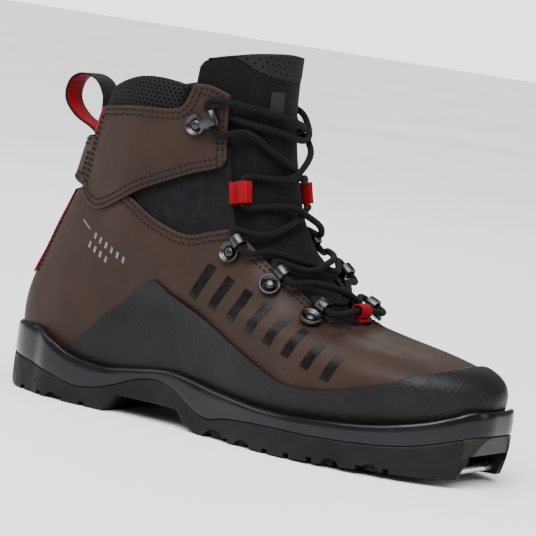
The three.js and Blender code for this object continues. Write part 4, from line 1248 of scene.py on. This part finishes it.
def mount(cup, eye, side, offset):
    """A frame on the upper: X along the piece, Z out of the leather."""
    level_a, angle_a = locate(*[np.array(v, float) for v in cup])
    level_b, angle_b = locate(*[np.array(v, float) for v in eye])
    return mount_at(level_a, side * angle_a, level_b, side * angle_b, offset)


def mount_at(level_a, angle_a, level_b, angle_b, offset):
    origin = skin(level_a, angle_a, offset)
    out = normal_at(level_a, angle_a)
    ahead = skin(level_b, angle_b, offset) - origin
    ahead = unit(ahead - out * np.dot(ahead, out))
    return np.array([ahead, np.cross(out, ahead), out]), origin


def turned(name, profile, steps=40):
    """A closed turned form from radius and height pairs, spun round Z."""
    form = new_piece(name, [(r, 0, z) for r, z in profile], [])
    mesh = form.data
    mesh.clear_geometry()
    mesh.from_pydata([(r, 0, z) for r, z in profile], [(k, k + 1) for k in range(len(profile) - 1)], [])
    only(form)
    bpy.ops.object.mode_set(mode="EDIT")
    bpy.ops.mesh.select_all(action="SELECT")
    bpy.ops.mesh.spin(steps=steps, angle=2 * math.pi, center=(0, 0, 0), axis=(0, 0, 1))
    bpy.ops.mesh.select_all(action="SELECT")
    bpy.ops.mesh.remove_doubles(threshold=0.001)
    bpy.ops.mesh.normals_make_consistent(inside=False)
    bpy.ops.object.mode_set(mode="OBJECT")
    return form


def cut_out(name, outline, width):
    """A side profile pushed out to a width, centred on Y."""
    form = new_piece(name, [(x, -width / 2, z) for x, z in outline], [tuple(range(len(outline)))])
    only(form)
    bpy.ops.object.mode_set(mode="EDIT")
    bpy.ops.mesh.select_all(action="SELECT")
    bpy.ops.mesh.extrude_region_move(TRANSFORM_OT_translate={"value": (0, width, 0)})
    bpy.ops.mesh.select_all(action="SELECT")
    bpy.ops.mesh.normals_make_consistent(inside=False)
    bpy.ops.object.mode_set(mode="OBJECT")
    return form


def arc(cx, cz, radius, start, end, steps):
    return [(cx + radius * math.cos(t), cz + radius * math.sin(t)) for t in np.linspace(start, end, steps)]


def strip_outline(line, thickness):
    """The outline of a bent strip, from its middle line."""
    line = np.array(line)
    normal = left_of(line)
    return [*map(tuple, line + normal * thickness / 2), *map(tuple, (line - normal * thickness / 2)[::-1])]


def folded_eye(name, foot, reach, radius, wall_, width):
    """A strap that leaves its foot, goes round the eye and lies down on itself."""
    centre = radius + wall_ + 0.2
    middle = radius + wall_ / 2
    line = [(foot, 0.2 + wall_ / 2), ((foot + reach) / 2, 0.2 + wall_ / 2)]
    line += arc(reach, centre, middle, -math.pi / 2, math.pi * 0.98, 26)
    line += arc(reach, centre, middle, math.pi * 1.04, math.pi * 1.32, 6)
    return cut_out(name, strip_outline(line, wall_), width)


def bevelled(form, width, segments=2, degrees=40):
    modify(form, "BEVEL", width=width, segments=segments, limit_method="ANGLE",
           angle_limit=math.radians(degrees))
    return form


def form_of(piece):
    """A modelled form as points and faces, taken off the scene."""
    points = np.array([v.co[:] for v in piece.data.vertices])
    faces = [tuple(p.vertices) for p in piece.data.polygons]
    bpy.data.objects.remove(piece)
    return points, faces


def joined(*forms):
    points, faces, base = [], [], 0
    for form_points, form_faces in forms:
        points.append(form_points)
        faces.extend(tuple(base + k for k in face) for face in form_faces)
        base += len(form_points)
    return np.concatenate(points), faces


def placed(name, form, mount_frame, uvs=None):
    axes, origin = mount_frame
    points, faces = form
    return new_piece(name, to_row(points @ axes + origin), faces, uvs)


def side_mount(kind, side):
    if kind == "hook":
        return mount(*HOOK_SPOT, side, 1.3 + CUFF_STAND_OFF + LEATHER)
    if kind == "web":
        return mount(*WEB_SPOT, side, UNDER + WEB_LIFT)
    return mount(*LOOP_SPOTS[kind], side, LOOP_LIFTS[kind])


def toe_mount():
    return mount_at(np.array(4.15), np.array(180.0), np.array(4.65), np.array(180.0), 1.0)


def make_hardware(settings):
    nickel = look("nickel", nickel_look)
    rim = CUP_RADIUS
    cup = form_of(bevelled(turned("cup", [(CUP_HOLE, 0), (rim - 0.5, 0), (rim, 0.8), (rim - 0.2, 2.0),
                                          (rim - 0.6, 2.4), (rim - 1.0, 2.3), (rim - 2.1, 1.0),
                                          (CUP_HOLE, 0.7), (CUP_HOLE, 0)]), 0.12, 2, 50))
    dome = [(0, 0.1), (RIVET_RADIUS, 0.1), (RIVET_RADIUS, 0.9)]
    dome += [(RIVET_RADIUS * math.cos(t), 0.9 + 1.35 * math.sin(t))
             for t in np.linspace(0.25, math.pi / 2, 7)]
    rivet = form_of(turned("rivet", dome, 32))
    eye = folded_eye("eye", CUP_HOLE + 0.6, EYE_REACH, EYE_RADIUS, EYE_WALL, LOOP_WIDTH)
    eye = form_of(bevelled(eye, 0.2, 2, 60))
    hook_line = [(CUP_HOLE + 0.6, 0.7), (7, 0.7)]
    hook_line += arc(HOOK_REACH, 0.2 + EYE_RADIUS + EYE_WALL, EYE_RADIUS + EYE_WALL / 2, -math.pi / 2,
                     math.pi / 2, 22)
    hook_line += [(8, 0.7 + 2 * EYE_RADIUS + EYE_WALL), (4.4, 1.0 + 2 * EYE_RADIUS + EYE_WALL)]
    hook = form_of(bevelled(cut_out("hook", strip_outline(hook_line, EYE_WALL), HOOK_WIDTH), 0.25, 2, 60))
    for name, side in (("lateral", 1), ("medial", -1)):
        for i in range(3):
            at = side_mount(i, side)
            loop = soften(placed(f"eyelet_{name}_{i + 1}", joined(cup, eye), at), 40)
            finish_piece(loop, nickel, "dark_nickel", f"lace_loop_{name}_{i + 1}", body=LOWER)
            pin = soften(placed(f"rivet_{name}_{i + 1}", rivet, at), 50)
            finish_piece(pin, nickel, "dark_nickel", f"loop_rivet_{name}_{i + 1}", body=LOWER)
        at = side_mount("hook", side)
        piece = soften(placed(f"hook_{name}", joined(cup, hook), at), 40)
        finish_piece(piece, nickel, "dark_nickel", f"speed_hook_{name}", body=CUFF)
        pin = soften(placed(f"rivet_{name}_hook", rivet, at), 50)
        finish_piece(pin, nickel, "dark_nickel", f"hook_rivet_{name}", body=CUFF)


WEB_FOOT, TOE_WEB_FOOT, WEB_REACH = -5.0, -1.6, 3.6


def make_webbing_loops(settings):
    red = look("red", webbing_look, "red_webbing", tuple(settings.webbing_colour))
    for name, width, at, bend in (("lateral", SIDE_WEB_WIDTH, side_mount("web", 1), True),
                                  ("medial", SIDE_WEB_WIDTH, side_mount("web", -1), True),
                                  ("toe", TOE_WEB_WIDTH, toe_mount(), False)):
        foot = WEB_FOOT if bend else TOE_WEB_FOOT
        piece = folded_eye(f"red_loop_{name}", foot, WEB_REACH, EYE_RADIUS, WEBBING, width)
        bevelled(piece, 0.25, 2, 60)
        form = form_of(piece)
        along_run = form[0][:, 0] + form[0][:, 2]
        uvs = np.stack([form[0][:, 1], along_run], 1)
        piece = soften(placed(f"red_loop_{name}", form, at, uvs), 45)
        outwards(piece)
        if bend:
            finish_piece(piece, red, "red_webbing", f"webbing_loop_{name}", bend=bend_between(106, 165))
        else:
            finish_piece(piece, red, "red_webbing", f"webbing_loop_{name}", body=LOWER)


# ---- Lace ----
OVER_TONGUE = LACE / 2 + 0.8
NEAR_EYE = 3.6
CROSSING = LACE + 0.7
TUCK = -1.7
BRAID_PITCH = 5.2


def eye_points(at, centre, half, side):
    axes, origin = at
    middle = np.array(centre) @ axes + origin
    run = axes[1] * side * half
    return [middle - run, middle, middle + run]


def eye_of(name):
    side = 1 if name.startswith("lateral") else -1
    kind = name.replace("lateral", "").replace("medial", "")
    if kind == "Hook":
        centre = (HOOK_REACH - 0.4, 0, EYE_RADIUS + EYE_WALL + 0.2)
        points = eye_points(side_mount("hook", side), centre, HOOK_WIDTH / 2 + STRAIGHT_OUT, side)
        return points, HOOK_SPOT[1], side
    if kind == "Web":
        centre = (3.6, 0, EYE_RADIUS + WEBBING + 0.2)
        points = eye_points(side_mount("web", side), centre, SIDE_WEB_WIDTH / 2 + WEB_STRAIGHT, side)
        return points, WEB_SPOT[1], side
    i = int(kind) - 1
    centre = (EYE_REACH, 0, EYE_RADIUS + EYE_WALL + 0.2)
    points = eye_points(side_mount(i, side), centre, LOOP_WIDTH / 2 + STRAIGHT_OUT, side)
    return points, LOOP_SPOTS[i][1], side


def strand(start, end, above, pieces=4):
    (_, a, side_a), (_, b, side_b) = eye_of(start), eye_of(end)
    ends = []
    for spot, side in ((a, side_a), (b, side_b)):
        level, angle = locate(*[np.array(v, float) for v in spot])
        ends.append((float(level), float(angle) if side > 0 else 360 - float(angle)))
    f = (np.arange(pieces) + 1) / (pieces + 1)
    bump = CROSSING * np.exp(-(((f - 0.5) / 0.2) ** 2)) if above else 0 * f
    near = np.maximum(0, 1 - np.minimum(f, 1 - f) / 0.25)
    level = ends[0][0] + (ends[1][0] - ends[0][0]) * f
    angle = ends[0][1] + (ends[1][1] - ends[0][1]) * f
    return list(skin(level, angle, OVER_TONGUE + bump + NEAR_EYE * near))


def through_eye(name, upwards):
    points = eye_of(name)[0]
    return points if upwards else points[::-1]


def spots(table):
    table = np.array(table, float)
    return list(skin(table[:, 0], table[:, 1], table[:, 2]))


def lace_route():
    toe_axes, toe_origin = toe_mount()
    toe_eye = eye_points((toe_axes, toe_origin), (3.6, 0, EYE_RADIUS + WEBBING + 0.2),
                         TOE_WEB_WIDTH / 2 + TOE_STRAIGHT, 1)
    down = ["medialHook", "lateralWeb", "medial3", "lateral2", "medial1"]
    up = ["lateral1", "medial2", "lateral3", "medialWeb", "lateralHook"]
    route = spots([[9.05, 129.5, TUCK], [9.05, 135, -1.5], [9, 140, 0.8], [8.93, 150, OVER_TONGUE],
                   [8.85, 163, OVER_TONGUE], [8.75, 178, OVER_TONGUE], [8.68, 194, OVER_TONGUE],
                   [8.75, 207, OVER_TONGUE + 2.6], [9, 219, OVER_TONGUE + CROSSING],
                   [9.3, 229, OVER_TONGUE + CROSSING + 1]])
    for k, name in enumerate(down):
        route += through_eye(name, False)
        if k + 1 < len(down):
            route += strand(name, down[k + 1], True)
    route += toe_eye
    for k, name in enumerate(up):
        route += through_eye(name, True)
        if k + 1 < len(up):
            route += strand(name, up[k + 1], False)
    route += spots([[9.42, 133, OVER_TONGUE + 2], [9.36, 140, OVER_TONGUE], [9.3, 150, OVER_TONGUE],
                    [9.2, 164, OVER_TONGUE + 1], [9.08, 180, OVER_TONGUE + 0.6], [8.98, 196, OVER_TONGUE],
                    [8.9, 210, OVER_TONGUE], [8.84, 220, 0.8], [8.8, 225, -1.5], [8.78, 231, TUCK]])
    return np.array(route)


def make_lace(settings):
    route = lace_route()
    rough_line, length = spline(route, 900)
    for _ in range(10):
        rough_line[1:-1] = (rough_line[:-2] + 2 * rough_line[1:-1] + rough_line[2:]) / 4
    line, length = spline(rough_line[::2], int(length / 0.9))
    tangent = unit(np.gradient(line, axis=0))
    sides, strands, lay = 20, 8, 2 * math.pi / BRAID_PITCH
    normal = unit(np.cross(tangent[0], [0, 0, 1.0]))
    run = run_along(line)
    turn = np.linspace(0, 2 * math.pi, sides, endpoint=False)
    points, uvs = [], []
    for k, (place, ahead) in enumerate(zip(line, tangent)):
        normal = unit(normal - ahead * np.dot(normal, ahead))
        other = np.cross(ahead, normal)
        weave = np.sin(strands / 2 * turn + run[k] * lay) * np.sin(strands / 2 * turn - run[k] * lay)
        radius = settings.lace_diameter / MM / 2 * (0.97 + 0.05 * weave)
        spoke = np.outer(np.cos(turn) * radius, normal) + np.outer(np.sin(turn) * radius, other)
        points.append(place + spoke)
        uvs.append(np.stack([turn, np.full(sides, run[k])], 1))
    count = len(line)
    faces = [(i * sides + k, i * sides + (k + 1) % sides,
              (i + 1) * sides + (k + 1) % sides, (i + 1) * sides + k)
             for i in range(count - 1) for k in range(sides)]
    faces.append(tuple(reversed(range(sides))))
    faces.append(tuple((count - 1) * sides + k for k in range(sides)))
    lace = new_piece("braided_lace", to_row(np.concatenate(points)), faces, np.concatenate(uvs))
    outwards(lace)
    soften(lace, 60)
    finish_piece(lace, look("lace", lace_look), "lace", "lace", bend=bend_between(106, 165))


# ---- Stitching and print ----
def make_stitching(settings):
    thread = look("thread", thread_look)
    pitch, length = settings.stitch_pitch / MM, settings.stitch_length / MM

    def sew(name, ground, paths):
        return stitches(name, ground, paths, pitch, length)

    lower = bpy.data.objects["leather_lower"]
    paths = []
    for side in (1, -1):
        for inset in (2.4, 5.4):
            paths.append(along_edge(QUARTER_TOP, 60, 166, 0, inset, side, 300))
            paths.append(up_edge(STRIPE_SPREAD, 3.2, 6.1, 0, -inset, side))
    rows = sew("lower_stitching", lower, paths)
    finish_piece(rows, thread, "lace", body=LOWER)
    for name, side in (("lateral", 1), ("medial", -1)):
        cuff = bpy.data.objects[f"leather_cuff_{name}"]
        face = CUFF_STAND_OFF + LEATHER
        paths = []
        for inset in (2.4, 5.4):
            paths.append(along_edge(CUFF_BOTTOM, CUFF_REAR + 3, CUFF_FRONT - 3, face, -inset, side, 200))
            paths.append(along_edge(CUFF_TOP, CUFF_REAR + 3, CUFF_FRONT - 3, face, inset, side, 200))
            low, high = (float(e(np.array([130.0]))[0]) for e in (CUFF_BOTTOM, CUFF_TOP))
            paths.append(up_edge(CUFF_FRONT, low - 0.12, high - 0.3, face, inset, side))
            low, high = (float(e(np.array([40.0]))[0]) for e in (CUFF_BOTTOM, CUFF_TOP))
            paths.append(up_edge(CUFF_REAR, low + 0.25, high - 0.25, face, -inset, side))
        rows = sew(f"cuff_stitching_{name}", cuff, paths)
        finish_piece(rows, thread, "lace", body=CUFF)
    tab = bpy.data.objects["leather_tab"]
    paths = []
    for inset in (2.2, 4.8):
        for side in (1, -1):
            paths.append(along_edge(TAB_LOW, 0, TAB_SPREAD - 6, 4, -inset, side))
            paths.append(along_edge(TAB_HIGH, 0, TAB_SPREAD - 6, 4, inset, side))
            paths.append(up_edge(TAB_SPREAD, 6.9, 7.75, 2.3, inset, side))
    rows = sew("tab_stitching", tab, paths)
    finish_piece(rows, thread, "lace", body=CUFF)
    tongue = bpy.data.objects["padded_tongue"]
    paths = []
    for side in (1, -1):
        paths.append(along_edge(FOLD, FOLD_SIDE + 2, 180, 0, 1.5, side))
        paths.append(up_edge(150, 5.4, 9.9, 0, 0, side))
    rows = stitches("tongue_stitching", tongue, paths, 2.6, 1.9, 0.45)
    finish_piece(rows, thread, "lace", bend=bend_between(112, 172))


PRINT_SHEET, BAR_LIFT, TICK_LIFT = 0.12, 0.24, 0.14
BARS, BAR_START, BAR_END, BAR_TALL, BAR_WIDTH = 8, (132.0, 74.0), (224.5, 46.0), (19.0, 13.5), (5.2, -1.6)
BAR_LEAN = (0.42, 1.0)
TICK_ROWS = ((6, (62.0, 94.0), (84.0, 84.0)), (4, (58.5, 88.5), (71.5, 82.2)))
TICK, TICK_WIDE, SLASH = (0.9, 3.4), (1.5, -0.7), ((51.0, 102.0), (7.2, -4.2), (0.3, 0.8))


def printed(name, marks, ink, lift, rows, columns=4):
    """Thin patches on the lateral side; each mark is its foot, its slope upwards and its width."""
    points, faces = [], []
    for foot, lean, width in marks:
        base = len(points)
        for i in range(rows + 1):
            for j in range(columns + 1):
                x, z = np.array(foot) + np.array(lean) * i / rows + np.array(width) * j / columns
                level, angle = locate(np.array(x), np.array(z))
                points.append(skin(level, angle, lift))
        for i in range(rows):
            for j in range(columns):
                a = base + i * (columns + 1) + j
                faces.append((a, a + 1, a + columns + 2, a + columns + 1))
    piece = new_piece(name, to_row(np.array(points)), faces)
    modify(piece, "SOLIDIFY", thickness=PRINT_SHEET * MM, offset=0)
    outwards(piece)
    soften(piece, 40)
    finish_piece(piece, ink, "rand_rubber", body=LOWER)


def make_print(settings):
    """Slanted bars and short ticks along the side, in place of printed marks."""
    marks = []
    for f in np.linspace(0, 1, BARS):
        tall = BAR_TALL[0] + (BAR_TALL[1] - BAR_TALL[0]) * f
        foot = np.array(BAR_START) + (np.array(BAR_END) - np.array(BAR_START)) * f
        marks.append((foot, np.array(BAR_LEAN) * tall, BAR_WIDTH))
    dark = look("print", print_look, "satin_print", (0.0022, 0.0022, 0.0024))
    printed("side_print", marks, dark, BAR_LIFT, 12)
    ticks = [SLASH]
    for count, start, end in TICK_ROWS:
        for f in np.linspace(0, 1, count):
            ticks.append((np.array(start) + (np.array(end) - np.array(start)) * f, TICK, TICK_WIDE))
    light = look("light_print", print_look, "light_print", (0.12, 0.115, 0.11))
    printed("rear_print", ticks, light, TICK_LIFT, 3, 2)


def make_hidden(settings):
    nodes = frame["nodes"]
    stiffener = look("stiffener", board_look, "stiffener_sheet", (0.45, 0.42, 0.36))
    for name, material in (("toe_puff", stiffener), ("heel_counter", stiffener),
                           ("insole_board", look("board", board_look, "fibre_board", (0.25, 0.22, 0.17))),
                           ("shank_plate", look("steel", steel_look))):
        nodes[name].data.materials.clear()
        nodes[name].data.materials.append(material)


# ---- Stage ----
def area_light(name, place, aim, size, power, size_y=None):
    light = bpy.data.lights.new(name, "AREA")
    light.energy, light.size = power, size
    if size_y:
        light.shape, light.size_y = "RECTANGLE", size_y
    lamp = bpy.data.objects.new(name, light)
    bpy.context.scene.collection.objects.link(lamp)
    lamp.location = place
    lamp.rotation_euler = (Vector(aim) - Vector(place)).to_track_quat("-Z", "Y").to_euler()
    return lamp


def make_stage(settings):
    bpy.ops.object.select_all(action="DESELECT")
    bpy.ops.mesh.primitive_plane_add(size=14, location=(0, 0, 0))
    floor = bpy.context.active_object
    floor.name = "studio_floor"
    look_ = Look("studio_floor", tuple(settings.floor_colour), 0.6)
    look_.rough(look_.ramp(look_.noise(0.4, 2), 0.3, 0.7, 0.55, 0.65))
    floor.data.materials.append(look_.material)
    world = bpy.data.worlds.new("studio")
    bpy.context.scene.world = world
    world.use_nodes = True
    nodes, links = world.node_tree.nodes, world.node_tree.links
    light_round = nodes["Background"]
    light_round.inputs["Strength"].default_value = settings.surround
    backdrop = nodes.new("ShaderNodeBackground")
    backdrop.inputs["Strength"].default_value = settings.backdrop
    for background in (light_round, backdrop):
        background.inputs["Color"].default_value = (1, 1, 1, 1)
    mix = nodes.new("ShaderNodeMixShader")
    links.new(nodes.new("ShaderNodeLightPath").outputs["Is Camera Ray"], mix.inputs["Fac"])
    links.new(light_round.outputs[0], mix.inputs[1])
    links.new(backdrop.outputs[0], mix.inputs[2])
    links.new(mix.outputs[0], nodes["World Output"].inputs["Surface"])
    sun = bpy.data.lights.new("overhead", "SUN")
    sun.energy, sun.angle = settings.overhead, math.radians(70)
    overhead = bpy.data.objects.new("overhead", sun)
    bpy.context.scene.collection.objects.link(overhead)
    overhead.rotation_euler = (math.radians(28), math.radians(12), 0)
    aim = (0, 0, 0.1)
    area_light("key", (0.5, -1.3, 1.6), aim, 0.9, settings.key_power)
    area_light("fill", (-1.5, -0.9, 0.8), aim, 1.0, settings.key_power * 0.35)
    area_light("toe_rim", (1.5, 0.3, 0.6), aim, 0.5, settings.key_power * 0.12, 1.0)
    area_light("back_rim", (-0.9, 1.3, 1.2), aim, 0.8, settings.key_power * 0.2)

    azimuth, elevation, roll = math.radians(31), math.radians(6), math.radians(8)
    distance, pixels_per_mm, frame_pixels = 1.7, 1.81, 536
    back = Vector((math.sin(azimuth) * math.cos(elevation), -math.cos(azimuth) * math.cos(elevation),
                   math.sin(elevation)))
    flat = Vector((math.cos(azimuth), math.sin(azimuth), 0))
    rise = back.cross(flat)
    right = flat * math.cos(roll) + rise * math.sin(roll)
    up = rise * math.cos(roll) - flat * math.sin(roll)
    target = Vector(to_row([156, 0, 83]))
    camera = bpy.data.objects.new("camera", bpy.data.cameras.new("camera"))
    bpy.context.scene.collection.objects.link(camera)
    camera.matrix_world = Matrix.Translation(target + back * distance) @ Matrix(
        (right, up, back)).transposed().to_4x4()
    camera.data.sensor_width = 36
    camera.data.lens = 36 * pixels_per_mm * distance / MM / frame_pixels
    camera.data.shift_y = 17 / frame_pixels
    camera.data.clip_end = 50
    bpy.context.scene.camera = camera


# ---- Settings, operators and panel ----
class BootSettings(bpy.types.PropertyGroup):
    leather_colour: bpy.props.FloatVectorProperty(name="Leather", description="Colour of the leather",
                                                  subtype="COLOR", size=3, default=(0.0215, 0.0118, 0.0084))
    webbing_colour: bpy.props.FloatVectorProperty(name="Webbing", description="Colour of the accent webbing",
                                                  subtype="COLOR", size=3, default=(0.24, 0.0006, 0.006))
    sole_step: bpy.props.FloatProperty(name="Sole step", description="Spacing of the sole's columns",
                                       unit="LENGTH", default=1.6 * MM)
    pad_fill: bpy.props.FloatProperty(name="Pad fill", description="How tightly the collar is filled",
                                      subtype="FACTOR", default=0.8)
    stitch_pitch: bpy.props.FloatProperty(name="Stitch pitch", description="From one stitch to the next",
                                          unit="LENGTH", default=3.0 * MM)
    stitch_length: bpy.props.FloatProperty(name="Stitch length", description="Length of a stitch",
                                           unit="LENGTH", default=2.2 * MM)
    lace_diameter: bpy.props.FloatProperty(name="Lace", description="Diameter of the lace",
                                           unit="LENGTH", default=3.8 * MM)


class StageSettings(bpy.types.PropertyGroup):
    floor_colour: bpy.props.FloatVectorProperty(name="Floor", description="Colour of the floor",
                                                subtype="COLOR", size=3, default=(0.93, 0.93, 0.93))
    key_power: bpy.props.FloatProperty(name="Key light", description="Power of the main light",
                                       unit="POWER", default=34)
    surround: bpy.props.FloatProperty(name="Surround", description="Strength of the light all round",
                                      default=0.28)
    backdrop: bpy.props.FloatProperty(name="Backdrop", description="Brightness of the backdrop", default=2.6)
    overhead: bpy.props.FloatProperty(name="Overhead", description="Strength of the soft light above",
                                      default=5.5)


class BOOT_OT_stage(bpy.types.Operator):
    """Set the floor, the lights and the camera"""

    bl_idname = "boot.stage"
    bl_label = "Stage"

    def execute(self, context):
        make_stage(context.scene.boot_stage)
        return {"FINISHED"}


class BOOT_OT_sole(bpy.types.Operator):
    """Make the gloss frame, the rubber sole and the toe bar"""

    bl_idname = "boot.sole"
    bl_label = "Sole"

    def execute(self, context):
        make_sole(context.scene.boot_settings)
        return {"FINISHED"}


class BOOT_OT_leather(bpy.types.Operator):
    """Make the lower, the cuff and the tab"""

    bl_idname = "boot.leather"
    bl_label = "Leather"

    def execute(self, context):
        make_leather(context.scene.boot_settings)
        return {"FINISHED"}


class BOOT_OT_rand(bpy.types.Operator):
    """Make the rubber rand"""

    bl_idname = "boot.rand"
    bl_label = "Rand"

    def execute(self, context):
        make_rand(context.scene.boot_settings)
        return {"FINISHED"}


class BOOT_OT_soft(bpy.types.Operator):
    """Make the gussets, tongue, collar and liner"""

    bl_idname = "boot.soft"
    bl_label = "Soft parts"

    def execute(self, context):
        make_gussets(context.scene.boot_settings)
        make_tongue(context.scene.boot_settings)
        make_collar(context.scene.boot_settings)
        make_liner(context.scene.boot_settings)
        return {"FINISHED"}


class BOOT_OT_webbing(bpy.types.Operator):
    """Make the stripes, the pull loop and the lace webs"""

    bl_idname = "boot.webbing"
    bl_label = "Webbing"

    def execute(self, context):
        make_webbing(context.scene.boot_settings)
        make_webbing_loops(context.scene.boot_settings)
        return {"FINISHED"}


class BOOT_OT_hardware(bpy.types.Operator):
    """Make the lace loops, the hooks and their rivets"""

    bl_idname = "boot.hardware"
    bl_label = "Hardware"

    def execute(self, context):
        make_hardware(context.scene.boot_settings)
        return {"FINISHED"}


class BOOT_OT_lace(bpy.types.Operator):
    """Lay the braided lace"""

    bl_idname = "boot.lace"
    bl_label = "Lace"

    def execute(self, context):
        make_lace(context.scene.boot_settings)
        return {"FINISHED"}


class BOOT_OT_stitching(bpy.types.Operator):
    """Sew the rows of stitches"""

    bl_idname = "boot.stitching"
    bl_label = "Stitching"

    def execute(self, context):
        make_stitching(context.scene.boot_settings)
        return {"FINISHED"}


class BOOT_OT_print(bpy.types.Operator):
    """Print the slanted bars on the side"""

    bl_idname = "boot.print"
    bl_label = "Print"

    def execute(self, context):
        make_print(context.scene.boot_settings)
        return {"FINISHED"}


class BOOT_OT_hidden(bpy.types.Operator):
    """Finish the stiffeners, the board and the shank"""

    bl_idname = "boot.hidden"
    bl_label = "Hidden pieces"

    def execute(self, context):
        make_hidden(context.scene.boot_settings)
        return {"FINISHED"}


OPERATORS = (
    BOOT_OT_stage, BOOT_OT_sole, BOOT_OT_leather, BOOT_OT_rand,
    BOOT_OT_soft, BOOT_OT_webbing, BOOT_OT_hardware, BOOT_OT_lace,
    BOOT_OT_stitching, BOOT_OT_print, BOOT_OT_hidden,
)


class BOOT_PT_panel(bpy.types.Panel):
    """The boot's pieces in the sidebar"""

    bl_label = "Backcountry ski boot"
    bl_idname = "BOOT_PT_panel"
    bl_space_type = "VIEW_3D"
    bl_region_type = "UI"
    bl_category = "Boot"

    def draw(self, context):
        for settings in (context.scene.boot_settings, context.scene.boot_stage):
            for key in settings.__annotations__:
                self.layout.prop(settings, key)
        for operator in OPERATORS:
            self.layout.operator(operator.bl_idname)


CLASSES = (BootSettings, StageSettings, *OPERATORS, BOOT_PT_panel)


def register():
    for cls in CLASSES:
        bpy.utils.register_class(cls)
    bpy.types.Scene.boot_settings = bpy.props.PointerProperty(type=BootSettings)
    bpy.types.Scene.boot_stage = bpy.props.PointerProperty(type=StageSettings)


def unregister():
    del bpy.types.Scene.boot_stage
    del bpy.types.Scene.boot_settings
    for cls in reversed(CLASSES):
        bpy.utils.unregister_class(cls)


def main():
    register()
    for operator in OPERATORS:
        getattr(bpy.ops.boot, operator.bl_idname.split(".")[1])()


if __name__ == "__main__":
    main()
